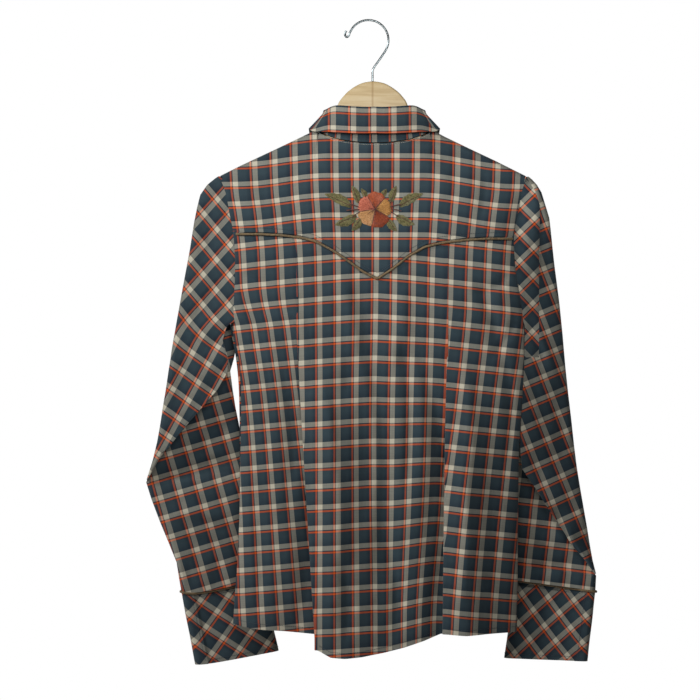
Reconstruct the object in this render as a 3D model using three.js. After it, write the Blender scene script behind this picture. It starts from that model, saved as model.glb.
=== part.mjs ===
// Western snap shirt on a wooden hanger, seen from its back. Millimetres, +Z up.
// The shirt's back faces -Y and its front +Y. The origin is the underside of the hook's top.
import * as THREE from "three";

// Cloth and seams
const clothThick = 1.2;
const seamGap = 0.3;
const yokeLap = 2.1;
const liftOff = clothThick / 2 + seamGap;

// Body section: half depths of the back and front walls, and the bend over the hanger
const depthBack = 27;
const depthFront = 27;
const bendRadius = 8.5;
const depthGrowth = 34;
const underarmZ = -392;
const underarmRound = 42;
const sideTrim = 0.008;
const settlePasses = 6;
const edgeFade = 0.08;

// Garment outline, one row for each height: the left and right edge of the body
const bodyEdges = [
  { z: -202, left: -192, right: 205 },
  { z: -222, left: -185, right: 199 },
  { z: -250, left: -180, right: 194 },
  { z: -276, left: -175, right: 189 },
  { z: -301, left: -173, right: 189 },
  { z: -328, left: -172.5, right: 191 },
  { z: -360, left: -174, right: 197 },
  { z: -390, left: -176.5, right: 202 },
  { z: -404, left: -176, right: 202.5 },
  { z: -430, left: -169.5, right: 202.5 },
  { z: -463, left: -165.5, right: 202 },
  { z: -505, left: -165, right: 199 },
  { z: -570, left: -166, right: 195.5 },
  { z: -640, left: -167, right: 194.5 },
  { z: -700, left: -169.5, right: 194 },
  { z: -745, left: -173, right: 193.5 },
  { z: -830, left: -178, right: 191.5 },
];

// Shoulder ridge, where the cloth bends over the hanger, from left to right
const ridgeLine = [
  { x: -230, z: -232 },
  { x: -192, z: -201.5 },
  { x: -167, z: -189 },
  { x: -133, z: -173 },
  { x: -98, z: -156.5 },
  { x: -66, z: -141 },
  { x: 6, z: -116 },
  { x: 82, z: -141.5 },
  { x: 98, z: -150 },
  { x: 130, z: -165.5 },
  { x: 164, z: -181.5 },
  { x: 205, z: -202 },
  { x: 240, z: -232 },
];

// Back yoke seam with its point, left to right
const yokeSeam = [
  { x: -185, z: -275 },
  { x: -140, z: -275.5 },
  { x: -113, z: -277 },
  { x: -87, z: -280 },
  { x: -68, z: -285 },
  { x: -47, z: -296 },
  { x: -28, z: -309 },
  { x: -7, z: -324 },
  { x: 12, z: -333.5 },
  { x: 33, z: -319 },
  { x: 51, z: -304.5 },
  { x: 73, z: -292 },
  { x: 94, z: -287 },
  { x: 126, z: -283 },
  { x: 152, z: -281.5 },
  { x: 200, z: -281 },
];

// Hem, left to right: it steps down at the left fold, where the middle laps over the left part
const hemLine = [
  { x: -185, z: -781 },
  { x: -161, z: -786 },
  { x: -142, z: -789 },
  { x: -113, z: -790.5 },
  { x: -69.5, z: -795.5 },
  { x: -65.5, z: -815 },
  { x: -49, z: -823.5 },
  { x: -30, z: -825 },
  { x: -8, z: -823 },
  { x: 20, z: -818 },
  { x: 46, z: -811.5 },
  { x: 73, z: -802.5 },
  { x: 95, z: -794 },
  { x: 126, z: -796 },
  { x: 152, z: -794.5 },
  { x: 200, z: -793 },
];

// The two long folds of the back: a lip that stands proud and fades to its right
const backFolds = [
  { topX: -92, hemX: -67.5, topZ: -400, rise: 5, fade: 70, halfLip: 2 },
  { topX: 102, hemX: 97.5, topZ: -440, rise: 5, fade: 55, halfLip: 2 },
];

// Soft waves of the cloth: centre at the top and at the hem, how far in, how wide
const backWaves = [
  { topX: -4, hemX: 22, topZ: -330, hemZ: -700, depth: 4, width: 24 },
  { topX: -150, hemX: -132, topZ: -370, hemZ: -700, depth: 2.5, width: 12 },
  { topX: -122, hemX: -112, topZ: -205, hemZ: -260, depth: 5, width: 20 },
  { topX: 150, hemX: 160, topZ: -380, hemZ: -800, depth: 2, width: 18 },
];
const frontWaves = [
  { topX: -90, hemX: -80, topZ: -360, hemZ: -800, depth: 3.5, width: 26 },
  { topX: 96, hemX: 110, topZ: -380, hemZ: -800, depth: 3, width: 24 },
];

// Neck opening and front
const neckCentreX = 8;
const neckHalfWidth = 72;
const backNeckZ = -160.5;
const neckSideZ = -144;
const frontNeckZ = -222;
const frontYokeDrop = 46;
const frontHemRise = 4;
const placketHemRise = 5;
const placketHalf = 16;
const placketTrim = 0.97;
const placketStep = 2.6;
const placketOut = placketStep + clothThick + seamGap + 0.1;

// Collar sections by angle from the back centre: stand height, lean in, leaf drop, leaf spread
const collarRows = [
  { angle: 0, rise: 44, lean: 2, drop: 31, spread: 13 },
  { angle: 45, rise: 40, lean: 6, drop: 31, spread: 16 },
  { angle: 72, rise: 29, lean: 9, drop: 25.5, spread: 21 },
  { angle: 90, rise: 24, lean: 9, drop: 20.5, spread: 22 },
  { angle: 118, rise: 26, lean: 8, drop: 29, spread: 19 },
  { angle: 150, rise: 28, lean: 6, drop: 74, spread: 14 },
  { angle: 174, rise: 28, lean: 5, drop: 46, spread: 12 },
  { angle: 190, rise: 28, lean: 5, drop: 46, spread: 12 },
];
const leafFrontAngle = 172;
const standOverlapAngle = 188;
const collarStep = 12;
const standLapAngle = 150;
const standLapRise = 1.3;
const standInward = 2;
const standRows = 3;
const neckFlatten = 0.9;
const leafClear = 5;
const leafClearAngle = 100;

// The roll of the leaf over the stand: away from the neck and up from the stand's top
const leafRoll = [
  { away: 0.6, rise: 3.5 },
  { away: 3, rise: 2.5 },
  { away: 4.3, rise: -1.2 },
];
// The fall of the leaf below the roll, as shares of its spread and drop
const leafFall = [
  { spread: 0.3, drop: 0.36 },
  { spread: 0.65, drop: 0.68 },
  { spread: 1, drop: 1 },
];

// Cells of the yoke's grid, the height of its side ends, and where the front neck edge starts
const yokeCells = { shoulder: 6, neckFront: 3, neckBack: 6, low: 6, high: 4 };
const yokeLowZ = -276;
const neckFrontAngle = 118;
const backCells = { edge: 5, middle: 7, rows: 18 };
const frontCells = { side: 7, neck: 5, rows: 16 };
const placketCells = { across: 3, rows: 16 };
const frontMiddleX = 6;
const frontMiddleRun = 500;

// Sleeves, pressed flat and folded in behind along their outer edge. Each row is a height on
// the outer edge: near is where the upper layers start below the underarm (above it they start
// at the armhole), crease the outer edge, far the inner edge of the folded lower part, skin the
// depth of the first layer, loft the step from layer to layer, sink the further depth at the
// far edge, tilt the slope of the section in degrees.
const sleeveRows = {
  left: [
    { z: -205, near: -194, crease: -199, far: -197, skin: -5, loft: 3.2, sink: 0, tilt: 0 },
    { z: -213, near: -190.5, crease: -209, far: -203, skin: -6.5, loft: 4.4, sink: 0, tilt: 0 },
    { z: -226, near: -186.5, crease: -218, far: -210, skin: -8, loft: 5.6, sink: 0, tilt: 0 },
    { z: -242, near: -183, crease: -222, far: -209, skin: -9, loft: 6, sink: 0, tilt: 0 },
    { z: -262, near: -180.5, crease: -226, far: -208, skin: -9, loft: 6, sink: 0, tilt: 0 },
    { z: -297, near: -175.5, crease: -231.5, far: -204, skin: -9, loft: 6.2, sink: 0, tilt: 0 },
    { z: -345, near: -175.5, crease: -240.5, far: -196, skin: -9, loft: 6.6, sink: 0, tilt: 0 },
    { z: -386, near: -179, crease: -248, far: -184, skin: -8, loft: 6.8, sink: 2, tilt: 0 },
    { z: -400, near: -187, crease: -250.5, far: -180, skin: -7.5, loft: 6.8, sink: 3, tilt: 0 },
    { z: -414, near: -191, crease: -253, far: -176.5, skin: -7, loft: 6.6, sink: 4, tilt: 0 },
    { z: -428, near: -188, crease: -255.4, far: -174, skin: -6.6, loft: 6.5, sink: 4.6, tilt: 0 },
    { z: -440, near: -184.5, crease: -257, far: -176, skin: -6.4, loft: 6.4, sink: 5, tilt: 0 },
    { z: -455, near: -184.5, crease: -259.5, far: -180.5, skin: -6, loft: 6.2, sink: 6, tilt: 0 },
    { z: -479, near: -198, crease: -263, far: -177.5, skin: -5, loft: 6, sink: 8, tilt: 0 },
    { z: -502, near: -218, crease: -267, far: -174, skin: -4, loft: 6, sink: 10, tilt: 0 },
    { z: -525, near: -238, crease: -270.5, far: -169.5, skin: -3, loft: 6, sink: 12, tilt: 0 },
    { z: -547, near: -256, crease: -274.5, far: -165.5, skin: -2, loft: 6, sink: 13, tilt: 1 },
    { z: -570, near: -272.5, crease: -280, far: -161, skin: -1, loft: 6, sink: 14, tilt: 2 },
    { z: -600, near: -289, crease: -289, far: -156, skin: -6, loft: 8, sink: 14, tilt: 4 },
    { z: -622, near: -282, crease: -282, far: -152, skin: -9, loft: 9, sink: 15, tilt: 6 },
    { z: -650, near: -271.5, crease: -271.5, far: -147, skin: -8, loft: 8.6, sink: 17, tilt: 8 },
    { z: -678, near: -260, crease: -260, far: -142.5, skin: -5, loft: 7.6, sink: 16.5, tilt: 10 },
    { z: -704, near: -249.5, crease: -249.5, far: -138.5, skin: -3, loft: 6.8, sink: 16.5, tilt: 11 },
    { z: -726, near: -246, crease: -246, far: -136, skin: -2, loft: 6.4, sink: 17, tilt: 11.5 },
    { z: -741, near: -243.5, crease: -243.5, far: -134.5, skin: 0, loft: 6, sink: 16, tilt: 11.5 },
  ],
  right: [
    { z: -206, near: 207, crease: 212.5, far: 210.5, skin: -5, loft: 3.2, sink: 0, tilt: 0 },
    { z: -213, near: 204, crease: 219, far: 216, skin: -6.5, loft: 4.4, sink: 0, tilt: 0 },
    { z: -223, near: 201, crease: 225, far: 217, skin: -8, loft: 5.6, sink: 0, tilt: 0 },
    { z: -256, near: 195.5, crease: 235, far: 216, skin: -9, loft: 6, sink: 0, tilt: 0 },
    { z: -292, near: 191.5, crease: 240, far: 213, skin: -9, loft: 6.2, sink: 0, tilt: 0 },
    { z: -326, near: 193.5, crease: 245, far: 210, skin: -9, loft: 6.6, sink: 0, tilt: 0 },
    { z: -364, near: 200.5, crease: 250, far: 206.5, skin: -8.5, loft: 6.8, sink: 0, tilt: 0 },
    { z: -388, near: 206.5, crease: 252.5, far: 198, skin: -8, loft: 6.8, sink: 3, tilt: 0 },
    { z: -407, near: 207.5, crease: 254.5, far: 193, skin: -7.5, loft: 6.6, sink: 6, tilt: 0 },
    { z: -450, near: 206, crease: 258.5, far: 190, skin: -6, loft: 6.2, sink: 9.5, tilt: 0 },
    { z: -485, near: 205, crease: 262.5, far: 188, skin: -5, loft: 6, sink: 11.5, tilt: 0 },
    { z: -520, near: 203, crease: 267, far: 187, skin: -4, loft: 6, sink: 13, tilt: 0 },
    { z: -555, near: 202, crease: 271, far: 186, skin: -4, loft: 6, sink: 14, tilt: 0 },
    { z: -582, near: 203, crease: 274.5, far: 185, skin: -3.5, loft: 6, sink: 14, tilt: 0 },
    { z: -607, near: 217.5, crease: 278, far: 184, skin: -3, loft: 6, sink: 14, tilt: 0 },
    { z: -636, near: 235.5, crease: 282.5, far: 183, skin: -3, loft: 6, sink: 14, tilt: -1 },
    { z: -661, near: 252, crease: 286.5, far: 182.5, skin: -2, loft: 6, sink: 14, tilt: -2 },
    { z: -682, near: 264, crease: 289.5, far: 181, skin: -1, loft: 6, sink: 13.5, tilt: -4 },
    { z: -702, near: 282, crease: 292.5, far: 180, skin: 0, loft: 6, sink: 13, tilt: -6 },
    { z: -722, near: 297, crease: 297, far: 178.5, skin: -3, loft: 7.6, sink: 9, tilt: -7 },
    { z: -741, near: 296, crease: 296, far: 177.5, skin: -1, loft: 6.4, sink: 11, tilt: -7 },
  ],
};
const armholeDepth = 8.5;
const armholeGap = 0.9;
const shoulderEase = { width: 1.4, startZ: -245, endZ: -205 };
const creaseBulge = 6;
const edgeSpread = 0.95;
const longRow = 40;
const sleeveCells = { layer: 5, outerTurn: 4, farTurn: 3, innerTurn: 3 };
const rightPleat = { x: 222, topZ: -215, endZ: -370, rise: 3.5, fade: 16, grow: 50, fall: 90, halfLip: 4 };

// Cuffs: flat tubes of a bias-cut band, top outer corner, width, height, turn and thickness.
// Bow is how far a cuff and the sleeve's end sag past the outer edge, taper the share that a
// cuff is taller at its inner side.
const cuffs = {
  left: { x: -243.6, z: -741.8, width: 107, height: 94, turn: 11.5, y: 23, bow: 12, taper: 0.03 },
  right: { x: 296.1, z: -741.8, width: 104, height: 92, turn: -7.2, y: 22, bow: 0, taper: 0.12 },
};
const cuffDepth = 12;
const cuffLean = 9;
const bowRun = 14;
const bowStartZ = -660;
const bowFullZ = -735;
const cuffOverlap = 10;
const cuffLapRise = clothThick + 0.9;
const cuffFlare = 1.2;
const cuffSeat = 8;
const cuffCells = { around: 34, rows: 3 };
const cuffSnapPlaces = [0.26, 0.74];
const cuffSnapInset = 9;

// Piping cord, and the cells along each cord
const pipingRadius = 1.5;
const cordSides = 6;
const cuffCord = { points: 26, steps: 34, start: 3, end: 5, lift: 1.2, down: 1.2, fade: 8 };
const yokeCord = { points: 30, steps: 44, startX: -170, endX: 185 };

// Snaps: radius and height of the cap, heights on the front
const snapRadius = 5.6;
const snapHeight = 2.8;
const snapTopZ = -262;
const snapPitch = 84;
const snapCount = 7;
const snapSides = 10;
const snapLift = 0.4;
const tightSnapLift = 0.9;

// Hanger: outline of the wooden body, thickness, and the wire hook
const hangerThick = 12;
const hangerBevel = 2.4;
const hangerTop = [
  { x: 193, z: -217.3 },
  { x: 188, z: -206.8 },
  { x: 150, z: -185.3 },
  { x: 98, z: -161.8 },
  { x: 72, z: -152.3 },
  { x: 57, z: -135 },
  { x: 51, z: -109 },
  { x: 45, z: -99 },
  { x: 36, z: -90 },
  { x: 23, z: -82 },
  { x: 11, z: -79 },
  { x: 1, z: -79 },
  { x: -11, z: -82 },
  { x: -24, z: -90 },
  { x: -33, z: -99 },
  { x: -40, z: -110 },
  { x: -47, z: -135 },
  { x: -60, z: -153.3 },
  { x: -90, z: -166.3 },
  { x: -150, z: -195.3 },
  { x: -176, z: -209.3 },
  { x: -181, z: -218.3 },
];
const hangerUnder = [
  { x: -178, z: -233 },
  { x: -150, z: -223 },
  { x: -90, z: -196 },
  { x: -40, z: -180 },
  { x: 6, z: -176 },
  { x: 52, z: -180 },
  { x: 100, z: -194 },
  { x: 155, z: -216 },
  { x: 190, z: -230 },
];
const wireRadius = 1.4;
const hookRadius = 26;
const hookCentre = { x: 0.3, z: wireRadius - hookRadius };
const hookFootX = 5.6;
const hookFootZ = -78.7;
const hookArc = { first: -28, last: 158, count: 10 };
const hookShank = [
  { x: hookFootX, z: hookFootZ },
  { x: hookFootX, z: -71 },
  { x: hookFootX + 0.1, z: -65 },
  { x: 7.6, z: -60 },
  { x: 15.7, z: -48.5 },
];
const hookTip = [
  { x: -25.6, z: -19.4 },
  { x: -28.4, z: -20.6 },
  { x: -30.2, z: -17.6 },
  { x: -28.6, z: -12.4 },
];

// Colours from the photograph
const colours = {
  plaidBody: 0x4b5559,
  plaidYoke: 0x565f61,
  plaidSleeve: 0x464f53,
  plaidCuff: 0x51585a,
  plaidCollar: 0x5a6163,
  piping: 0x6e5a3c,
  snap: 0xd8d2c4,
  maple: 0xd6bd90,
  steel: 0xb4b4b6,
};

// Smooth value of a named column between the rows of a table
function column(rows, key, name, at) {
  const up = rows[rows.length - 1][key] > rows[0][key];
  const first = up ? rows[0] : rows[rows.length - 1];
  const last = up ? rows[rows.length - 1] : rows[0];
  if (at <= first[key]) return first[name];
  if (at >= last[key]) return last[name];
  const i = rows.findIndex((row, n) => {
    const next = rows[n + 1];
    return next && at <= Math.max(row[key], next[key]) && at >= Math.min(row[key], next[key]);
  });
  const a = rows[i];
  const b = rows[i + 1];
  const before = rows[i - 1] ?? a;
  const after = rows[i + 2] ?? b;
  const span = b[key] - a[key];
  const t = (at - a[key]) / span;
  const slopeA = i > 0 ? ((b[name] - before[name]) / (b[key] - before[key])) * span : b[name] - a[name];
  const slopeB = rows[i + 2] ? ((after[name] - a[name]) / (after[key] - a[key])) * span : b[name] - a[name];
  const t2 = t * t;
  const t3 = t2 * t;
  return (
    (2 * t3 - 3 * t2 + 1) * a[name] +
    (t3 - 2 * t2 + t) * slopeA +
    (3 * t2 - 2 * t3) * b[name] +
    (t3 - t2) * slopeB
  );
}

// The same with straight stretches, for lines with a step or a point
function straight(rows, key, name, at) {
  if (at <= rows[0][key]) return rows[0][name];
  const last = rows[rows.length - 1];
  if (at >= last[key]) return last[name];
  const i = rows.findIndex((row, n) => rows[n + 1] && at <= rows[n + 1][key]);
  const a = rows[i];
  const b = rows[i + 1];
  return a[name] + ((b[name] - a[name]) * (at - a[key])) / (b[key] - a[key]);
}

const lerp = THREE.MathUtils.lerp;
const smooth = THREE.MathUtils.smoothstep;
const ridge = (x) => straight(ridgeLine, "x", "z", x);
const yokeZ = (x) => straight(yokeSeam, "x", "z", x);
const hemZ = (x) => straight(hemLine, "x", "z", x);
const leftEdge = (z) => column(bodyEdges, "z", "left", z);
const rightEdge = (z) => column(bodyEdges, "z", "right", z);

// Place across the body: -1 at the left edge, 1 at the right edge
function across(x, z) {
  const middle = (leftEdge(z) + rightEdge(z)) / 2;
  const half = (rightEdge(z) - leftEdge(z)) / 2;
  return THREE.MathUtils.clamp((x - middle) / half, -1, 1);
}

// The x of a place across the body
function xAcross(u, z) {
  return lerp(leftEdge(z), rightEdge(z), (u + 1) / 2);
}

// Share of the armhole's open depth that is left at a height
function armholeShare(z) {
  return Math.sqrt(THREE.MathUtils.clamp((z - underarmZ) / underarmRound, 0, 1));
}

// Depth of a wall from the middle plane at a place on it
function wallDepth(x, z, full) {
  const u = across(x, z);
  const side = Math.sqrt(Math.max(0, 1 - Math.abs(u) ** 3));
  const drop = Math.max(0, ridge(x) - z);
  const bend = bendRadius * Math.sqrt(Math.max(0, 1 - (1 - Math.min(drop, bendRadius) / bendRadius) ** 2));
  const open = armholeShare(z);
  const grown = 1 - Math.exp(-Math.max(drop - bendRadius, 0) / depthGrowth);
  return bend * (open + (1 - open) * side) + (full - bendRadius) * grown * side;
}

// Height of the long folds at a place on the back
function foldRise(x, z) {
  let sum = 0;
  for (const fold of backFolds) {
    const lipX = lerp(fold.topX, fold.hemX, THREE.MathUtils.clamp((fold.topZ - z) / (fold.topZ + 800), 0, 1));
    const grown = smooth(fold.topZ - z, -20, 120);
    const past = x - lipX;
    if (past > -fold.halfLip) {
      const lip = smooth(past, -fold.halfLip, fold.halfLip);
      sum += fold.rise * grown * lip * (1 - smooth(past, fold.halfLip, fold.fade));
    }
  }
  return sum;
}

// Depth of the soft waves at a place on a wall
function waveDepth(waves, x, z) {
  let sum = 0;
  for (const wave of waves) {
    const along = (wave.topZ - z) / (wave.topZ - wave.hemZ);
    const centre = lerp(wave.topX, wave.hemX, THREE.MathUtils.clamp(along, 0, 1));
    const fade = smooth(along, -0.15, 0.2) * (1 - smooth(along, 0.8, 1.25));
    sum += wave.depth * fade * Math.exp(-(((x - centre) / wave.width) ** 2));
  }
  return sum;
}

function backY(x, z) {
  const edge = smooth(1 - Math.abs(across(x, z)), 0, edgeFade);
  return -wallDepth(x, z, depthBack) - edge * (foldRise(x, z) - waveDepth(backWaves, x, z));
}

function frontY(x, z) {
  const edge = smooth(1 - Math.abs(across(x, z)), 0, edgeFade);
  return wallDepth(x, z, depthFront) - edge * waveDepth(frontWaves, x, z);
}

// A point of the back wall, moved out from it
function backPoint(x, z, out = 0) {
  const lean = (backY(x + 2, z) - backY(x - 2, z)) / 4;
  const away = new THREE.Vector3(lean, -1, 0).normalize();
  return new THREE.Vector3(x, backY(x, z), z).addScaledVector(away, out);
}

// A point of the front wall, moved out from it
function frontPoint(x, z, out = 0) {
  const lean = (frontY(x + 2, z) - frontY(x - 2, z)) / 4;
  const away = new THREE.Vector3(-lean, 1, 0).normalize();
  return new THREE.Vector3(x, frontY(x, z), z).addScaledVector(away, out);
}

// A closed thin wall around a grid of points, rows of equal length
function wallGeometry(grid, thick = clothThick) {
  const rows = grid.length;
  const cols = grid[0].length;
  const at = (i, j) =>
    grid[THREE.MathUtils.clamp(i, 0, rows - 1)][THREE.MathUtils.clamp(j, 0, cols - 1)];
  const positions = [];
  const along = new THREE.Vector3();
  const over = new THREE.Vector3();
  for (const side of [0.5, -0.5]) {
    for (let i = 0; i < rows; i += 1) {
      for (let j = 0; j < cols; j += 1) {
        along.subVectors(at(i + 1, j), at(i - 1, j));
        over.subVectors(at(i, j + 1), at(i, j - 1));
        const normal = over.clone().cross(along).normalize();
        const p = at(i, j).clone().addScaledVector(normal, side * thick);
        positions.push(p.x, p.y, p.z);
      }
    }
  }
  const inner = rows * cols;
  const index = [];
  const quad = (a, b, c, d) => index.push(a, b, c, a, c, d);
  for (let i = 0; i < rows - 1; i += 1) {
    for (let j = 0; j < cols - 1; j += 1) {
      const a = i * cols + j;
      quad(a, a + 1, a + cols + 1, a + cols);
      quad(inner + a, inner + a + cols, inner + a + cols + 1, inner + a + 1);
    }
  }
  for (let j = 0; j < cols - 1; j += 1) {
    const top = (rows - 1) * cols + j;
    quad(j, inner + j, inner + j + 1, j + 1);
    quad(top, top + 1, inner + top + 1, inner + top);
  }
  for (let i = 0; i < rows - 1; i += 1) {
    const left = i * cols;
    const right = left + cols - 1;
    quad(left, left + cols, inner + left + cols, inner + left);
    quad(right, inner + right, inner + right + cols, right + cols);
  }
  const geometry = new THREE.BufferGeometry();
  geometry.setAttribute("position", new THREE.Float32BufferAttribute(positions, 3));
  geometry.setIndex(index);
  geometry.computeVertexNormals();
  return geometry;
}

// A round cord along points on a panel
function cordGeometry(points, radius, steps, sides) {
  const round = new THREE.Shape();
  for (let k = 0; k < sides; k += 1) {
    const angle = (2 * Math.PI * k) / sides;
    const x = radius * Math.cos(angle);
    const y = radius * Math.sin(angle);
    if (k === 0) round.moveTo(x, y);
    else round.lineTo(x, y);
  }
  round.closePath();
  const path = new THREE.CatmullRomCurve3(points, false, "centripetal");
  return new THREE.ExtrudeGeometry(round, { steps, extrudePath: path, bevelEnabled: false });
}

const shirt = new THREE.Group();

function addMesh(name, geometry, colour, roughness = 0.85, metalness = 0) {
  const material = new THREE.MeshStandardMaterial({
    color: colour,
    roughness,
    metalness,
    side: THREE.DoubleSide,
  });
  const mesh = new THREE.Mesh(geometry, material);
  mesh.name = name;
  shirt.add(mesh);
  return mesh;
}

// Places across the back panel, close together on both sides of each fold
function backColumns(z) {
  const lips = backFolds.map((fold) => {
    const along = THREE.MathUtils.clamp((fold.topZ - z) / (fold.topZ + 800), 0, 1);
    return { x: lerp(fold.topX, fold.hemX, along), half: fold.halfLip };
  });
  const [first, second] = lips;
  const list = [];
  const trim = 1 - sideTrim;
  const rounded = (k) => Math.sin((Math.PI / 2) * ((k * trim) / backCells.edge));
  const middle = (leftEdge(z) + rightEdge(z)) / 2;
  const end = Math.sin((Math.PI / 2) * trim);
  const leftX = middle - ((rightEdge(z) - leftEdge(z)) / 2) * end;
  const rightX = middle + ((rightEdge(z) - leftEdge(z)) / 2) * end;
  for (let k = backCells.edge; k >= 0; k -= 1) {
    list.push(lerp(first.x - first.half, leftX, rounded(k) / rounded(backCells.edge)));
  }
  for (let k = 0; k <= backCells.middle; k += 1) {
    list.push(lerp(first.x + first.half, second.x - second.half, k / backCells.middle));
  }
  for (let k = 0; k <= backCells.edge; k += 1) {
    list.push(lerp(second.x + second.half, rightX, rounded(k) / rounded(backCells.edge)));
  }
  return list;
}

// Back panel, from the hem up to the yoke seam
function makeBack() {
  const rows = backCells.rows;
  const startZ = -600;
  const columns = backColumns(startZ);
  const grid = [];
  for (let i = 0; i <= rows; i += 1) {
    const row = [];
    for (let j = 0; j < columns.length; j += 1) {
      let x = columns[j];
      let z = startZ;
      for (let pass = 0; pass < settlePasses; pass += 1) {
        z = lerp(hemZ(x), yokeZ(x) - seamGap, i / rows);
        x = backColumns(z)[j];
      }
      row.push(backPoint(x, z));
    }
    grid.push(row);
  }
  addMesh("back", wallGeometry(grid), colours.plaidBody);
}

// Neck edge by angle: 0 at the back centre, 90 at the ridge, 180 at the front centre
function neckEdge(angle) {
  const turn = THREE.MathUtils.degToRad(angle);
  const x = neckCentreX + neckHalfWidth * Math.sin(turn);
  const facing = Math.cos(turn);
  if (facing >= 0) {
    const z = lerp(neckSideZ, backNeckZ, facing ** 1.3);
    const pull = Math.min(1, (1 - facing) * 4 + 0.8);
    return new THREE.Vector3(x, -wallDepth(x, z, depthBack) * pull, z);
  }
  const z = lerp(neckSideZ, frontNeckZ, (-facing) ** 1.1);
  return new THREE.Vector3(x, wallDepth(x, z, depthFront), z);
}

// Height of the front neck edge at a place across
function frontNeckAt(x) {
  const sine = THREE.MathUtils.clamp((x - neckCentreX) / neckHalfWidth, -1, 1);
  return lerp(neckSideZ, frontNeckZ, Math.sqrt(1 - sine * sine) ** 1.1);
}

// A place over the shoulder: reach is the length of cloth from the ridge, back negative
function overRidge(x, reach, lap) {
  const quarter = (Math.PI / 2) * bendRadius;
  const length = Math.abs(reach);
  const drop =
    length < quarter ? bendRadius * (1 - Math.cos(length / bendRadius)) : bendRadius + length - quarter;
  const z = ridge(x) - drop;
  const out = lap * smooth(1 - Math.abs(across(x, z)), 0.02, 0.12);
  return reach < 0 ? backPoint(x, z, out) : frontPoint(x, z, out);
}

// The length of cloth from the ridge down to a height
function reachTo(x, z) {
  const quarter = (Math.PI / 2) * bendRadius;
  const drop = Math.max(0, ridge(x) - z);
  return drop < bendRadius ? bendRadius * Math.acos(1 - drop / bendRadius) : drop - bendRadius + quarter;
}

// Upper ends of the yoke's columns, from the left armhole to the right one
function yokeEnds() {
  const half = [];
  const frontEdge = neckEdge(neckFrontAngle);
  for (let k = 0; k < yokeCells.shoulder; k += 1) {
    const part = k / yokeCells.shoulder;
    half.push({ kind: "seam", part });
  }
  for (let k = 0; k < yokeCells.neckFront; k += 1) {
    half.push({ kind: "neck", angle: lerp(neckFrontAngle, 92, k / yokeCells.neckFront) });
  }
  for (let k = 0; k <= yokeCells.neckBack; k += 1) {
    half.push({ kind: "neck", angle: lerp(88, 0, k / yokeCells.neckBack) });
  }
  const full = half.map((end) => ({ ...end, side: -1 }));
  for (let k = half.length - 2; k >= 0; k -= 1) full.push({ ...half[k], side: 1 });
  return { full, inner: frontEdge.x - neckCentreX };
}

function yokeEndPoint(end, inner) {
  if (end.kind === "neck") {
    const p = neckEdge(end.angle * end.side);
    const back = Math.abs(end.angle) < 90;
    return { x: p.x, reach: (back ? -1 : 1) * reachTo(p.x, p.z) };
  }
  const trim = 1 - sideTrim;
  const innerX = neckCentreX + end.side * inner;
  const z = ridge(innerX) - frontYokeDrop;
  const outerX = end.side < 0 ? leftEdge(z - 25) : rightEdge(z - 25);
  const x = lerp(outerX, innerX, Math.sin((Math.PI / 2) * end.part) * 0.35 + end.part * 0.65 + 1 - trim);
  return { x, reach: reachTo(x, ridge(x) - frontYokeDrop) };
}

// Yoke: from its pointed seam over both shoulders to the plain seam in front
function makeYoke() {
  const { full, inner } = yokeEnds();
  const lowRows = yokeCells.low;
  const highRows = yokeCells.high;
  const total = full.length;
  const grid = [];
  for (let i = 0; i <= lowRows + highRows; i += 1) grid.push([]);
  full.forEach((end, j) => {
    const top = yokeEndPoint(end, inner);
    const share = (2 * j) / (total - 1) - 1;
    const spread = Math.sin((Math.PI / 2) * share * (1 - sideTrim)) * 0.5 + share * 0.5;
    const lowX = xAcross(spread * (1 - sideTrim / 8), yokeLowZ);
    const low = { x: lowX, reach: -reachTo(lowX, yokeZ(lowX) + seamGap) };
    const crest = THREE.MathUtils.clamp(-low.reach / (top.reach - low.reach), 0, 0.8);
    for (let i = 0; i <= lowRows + highRows; i += 1) {
      const part =
        i <= lowRows
          ? crest * Math.sin(((Math.PI / 2) * i) / lowRows) ** 0.9
          : crest + (1 - crest) * ((i - lowRows) / highRows) ** 1.25;
      const reach = lerp(low.reach, top.reach, part);
      let x = lerp(low.x, top.x, part);
      if (j === 0 || j === total - 1) {
        const z = ridge(x) - Math.max(0, Math.abs(reach) - (Math.PI / 2 - 1) * bendRadius);
        x = j === 0 ? leftEdge(z) + 0.4 : rightEdge(z) - 0.4;
      }
      const backLap = 1 - smooth(i / lowRows, 0, 0.55);
      const frontLap = end.kind === "seam" ? smooth(i, lowRows + 1, lowRows + highRows) : 0;
      grid[i].push(overRidge(x, reach, yokeLap * Math.max(backLap, frontLap)));
    }
  });
  addMesh("yoke", wallGeometry(grid), colours.plaidYoke);
}

// The middle line of the front
function frontMiddle(z) {
  return lerp(neckCentreX, frontMiddleX, smooth(frontNeckZ - z, 0, frontMiddleRun));
}

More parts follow.
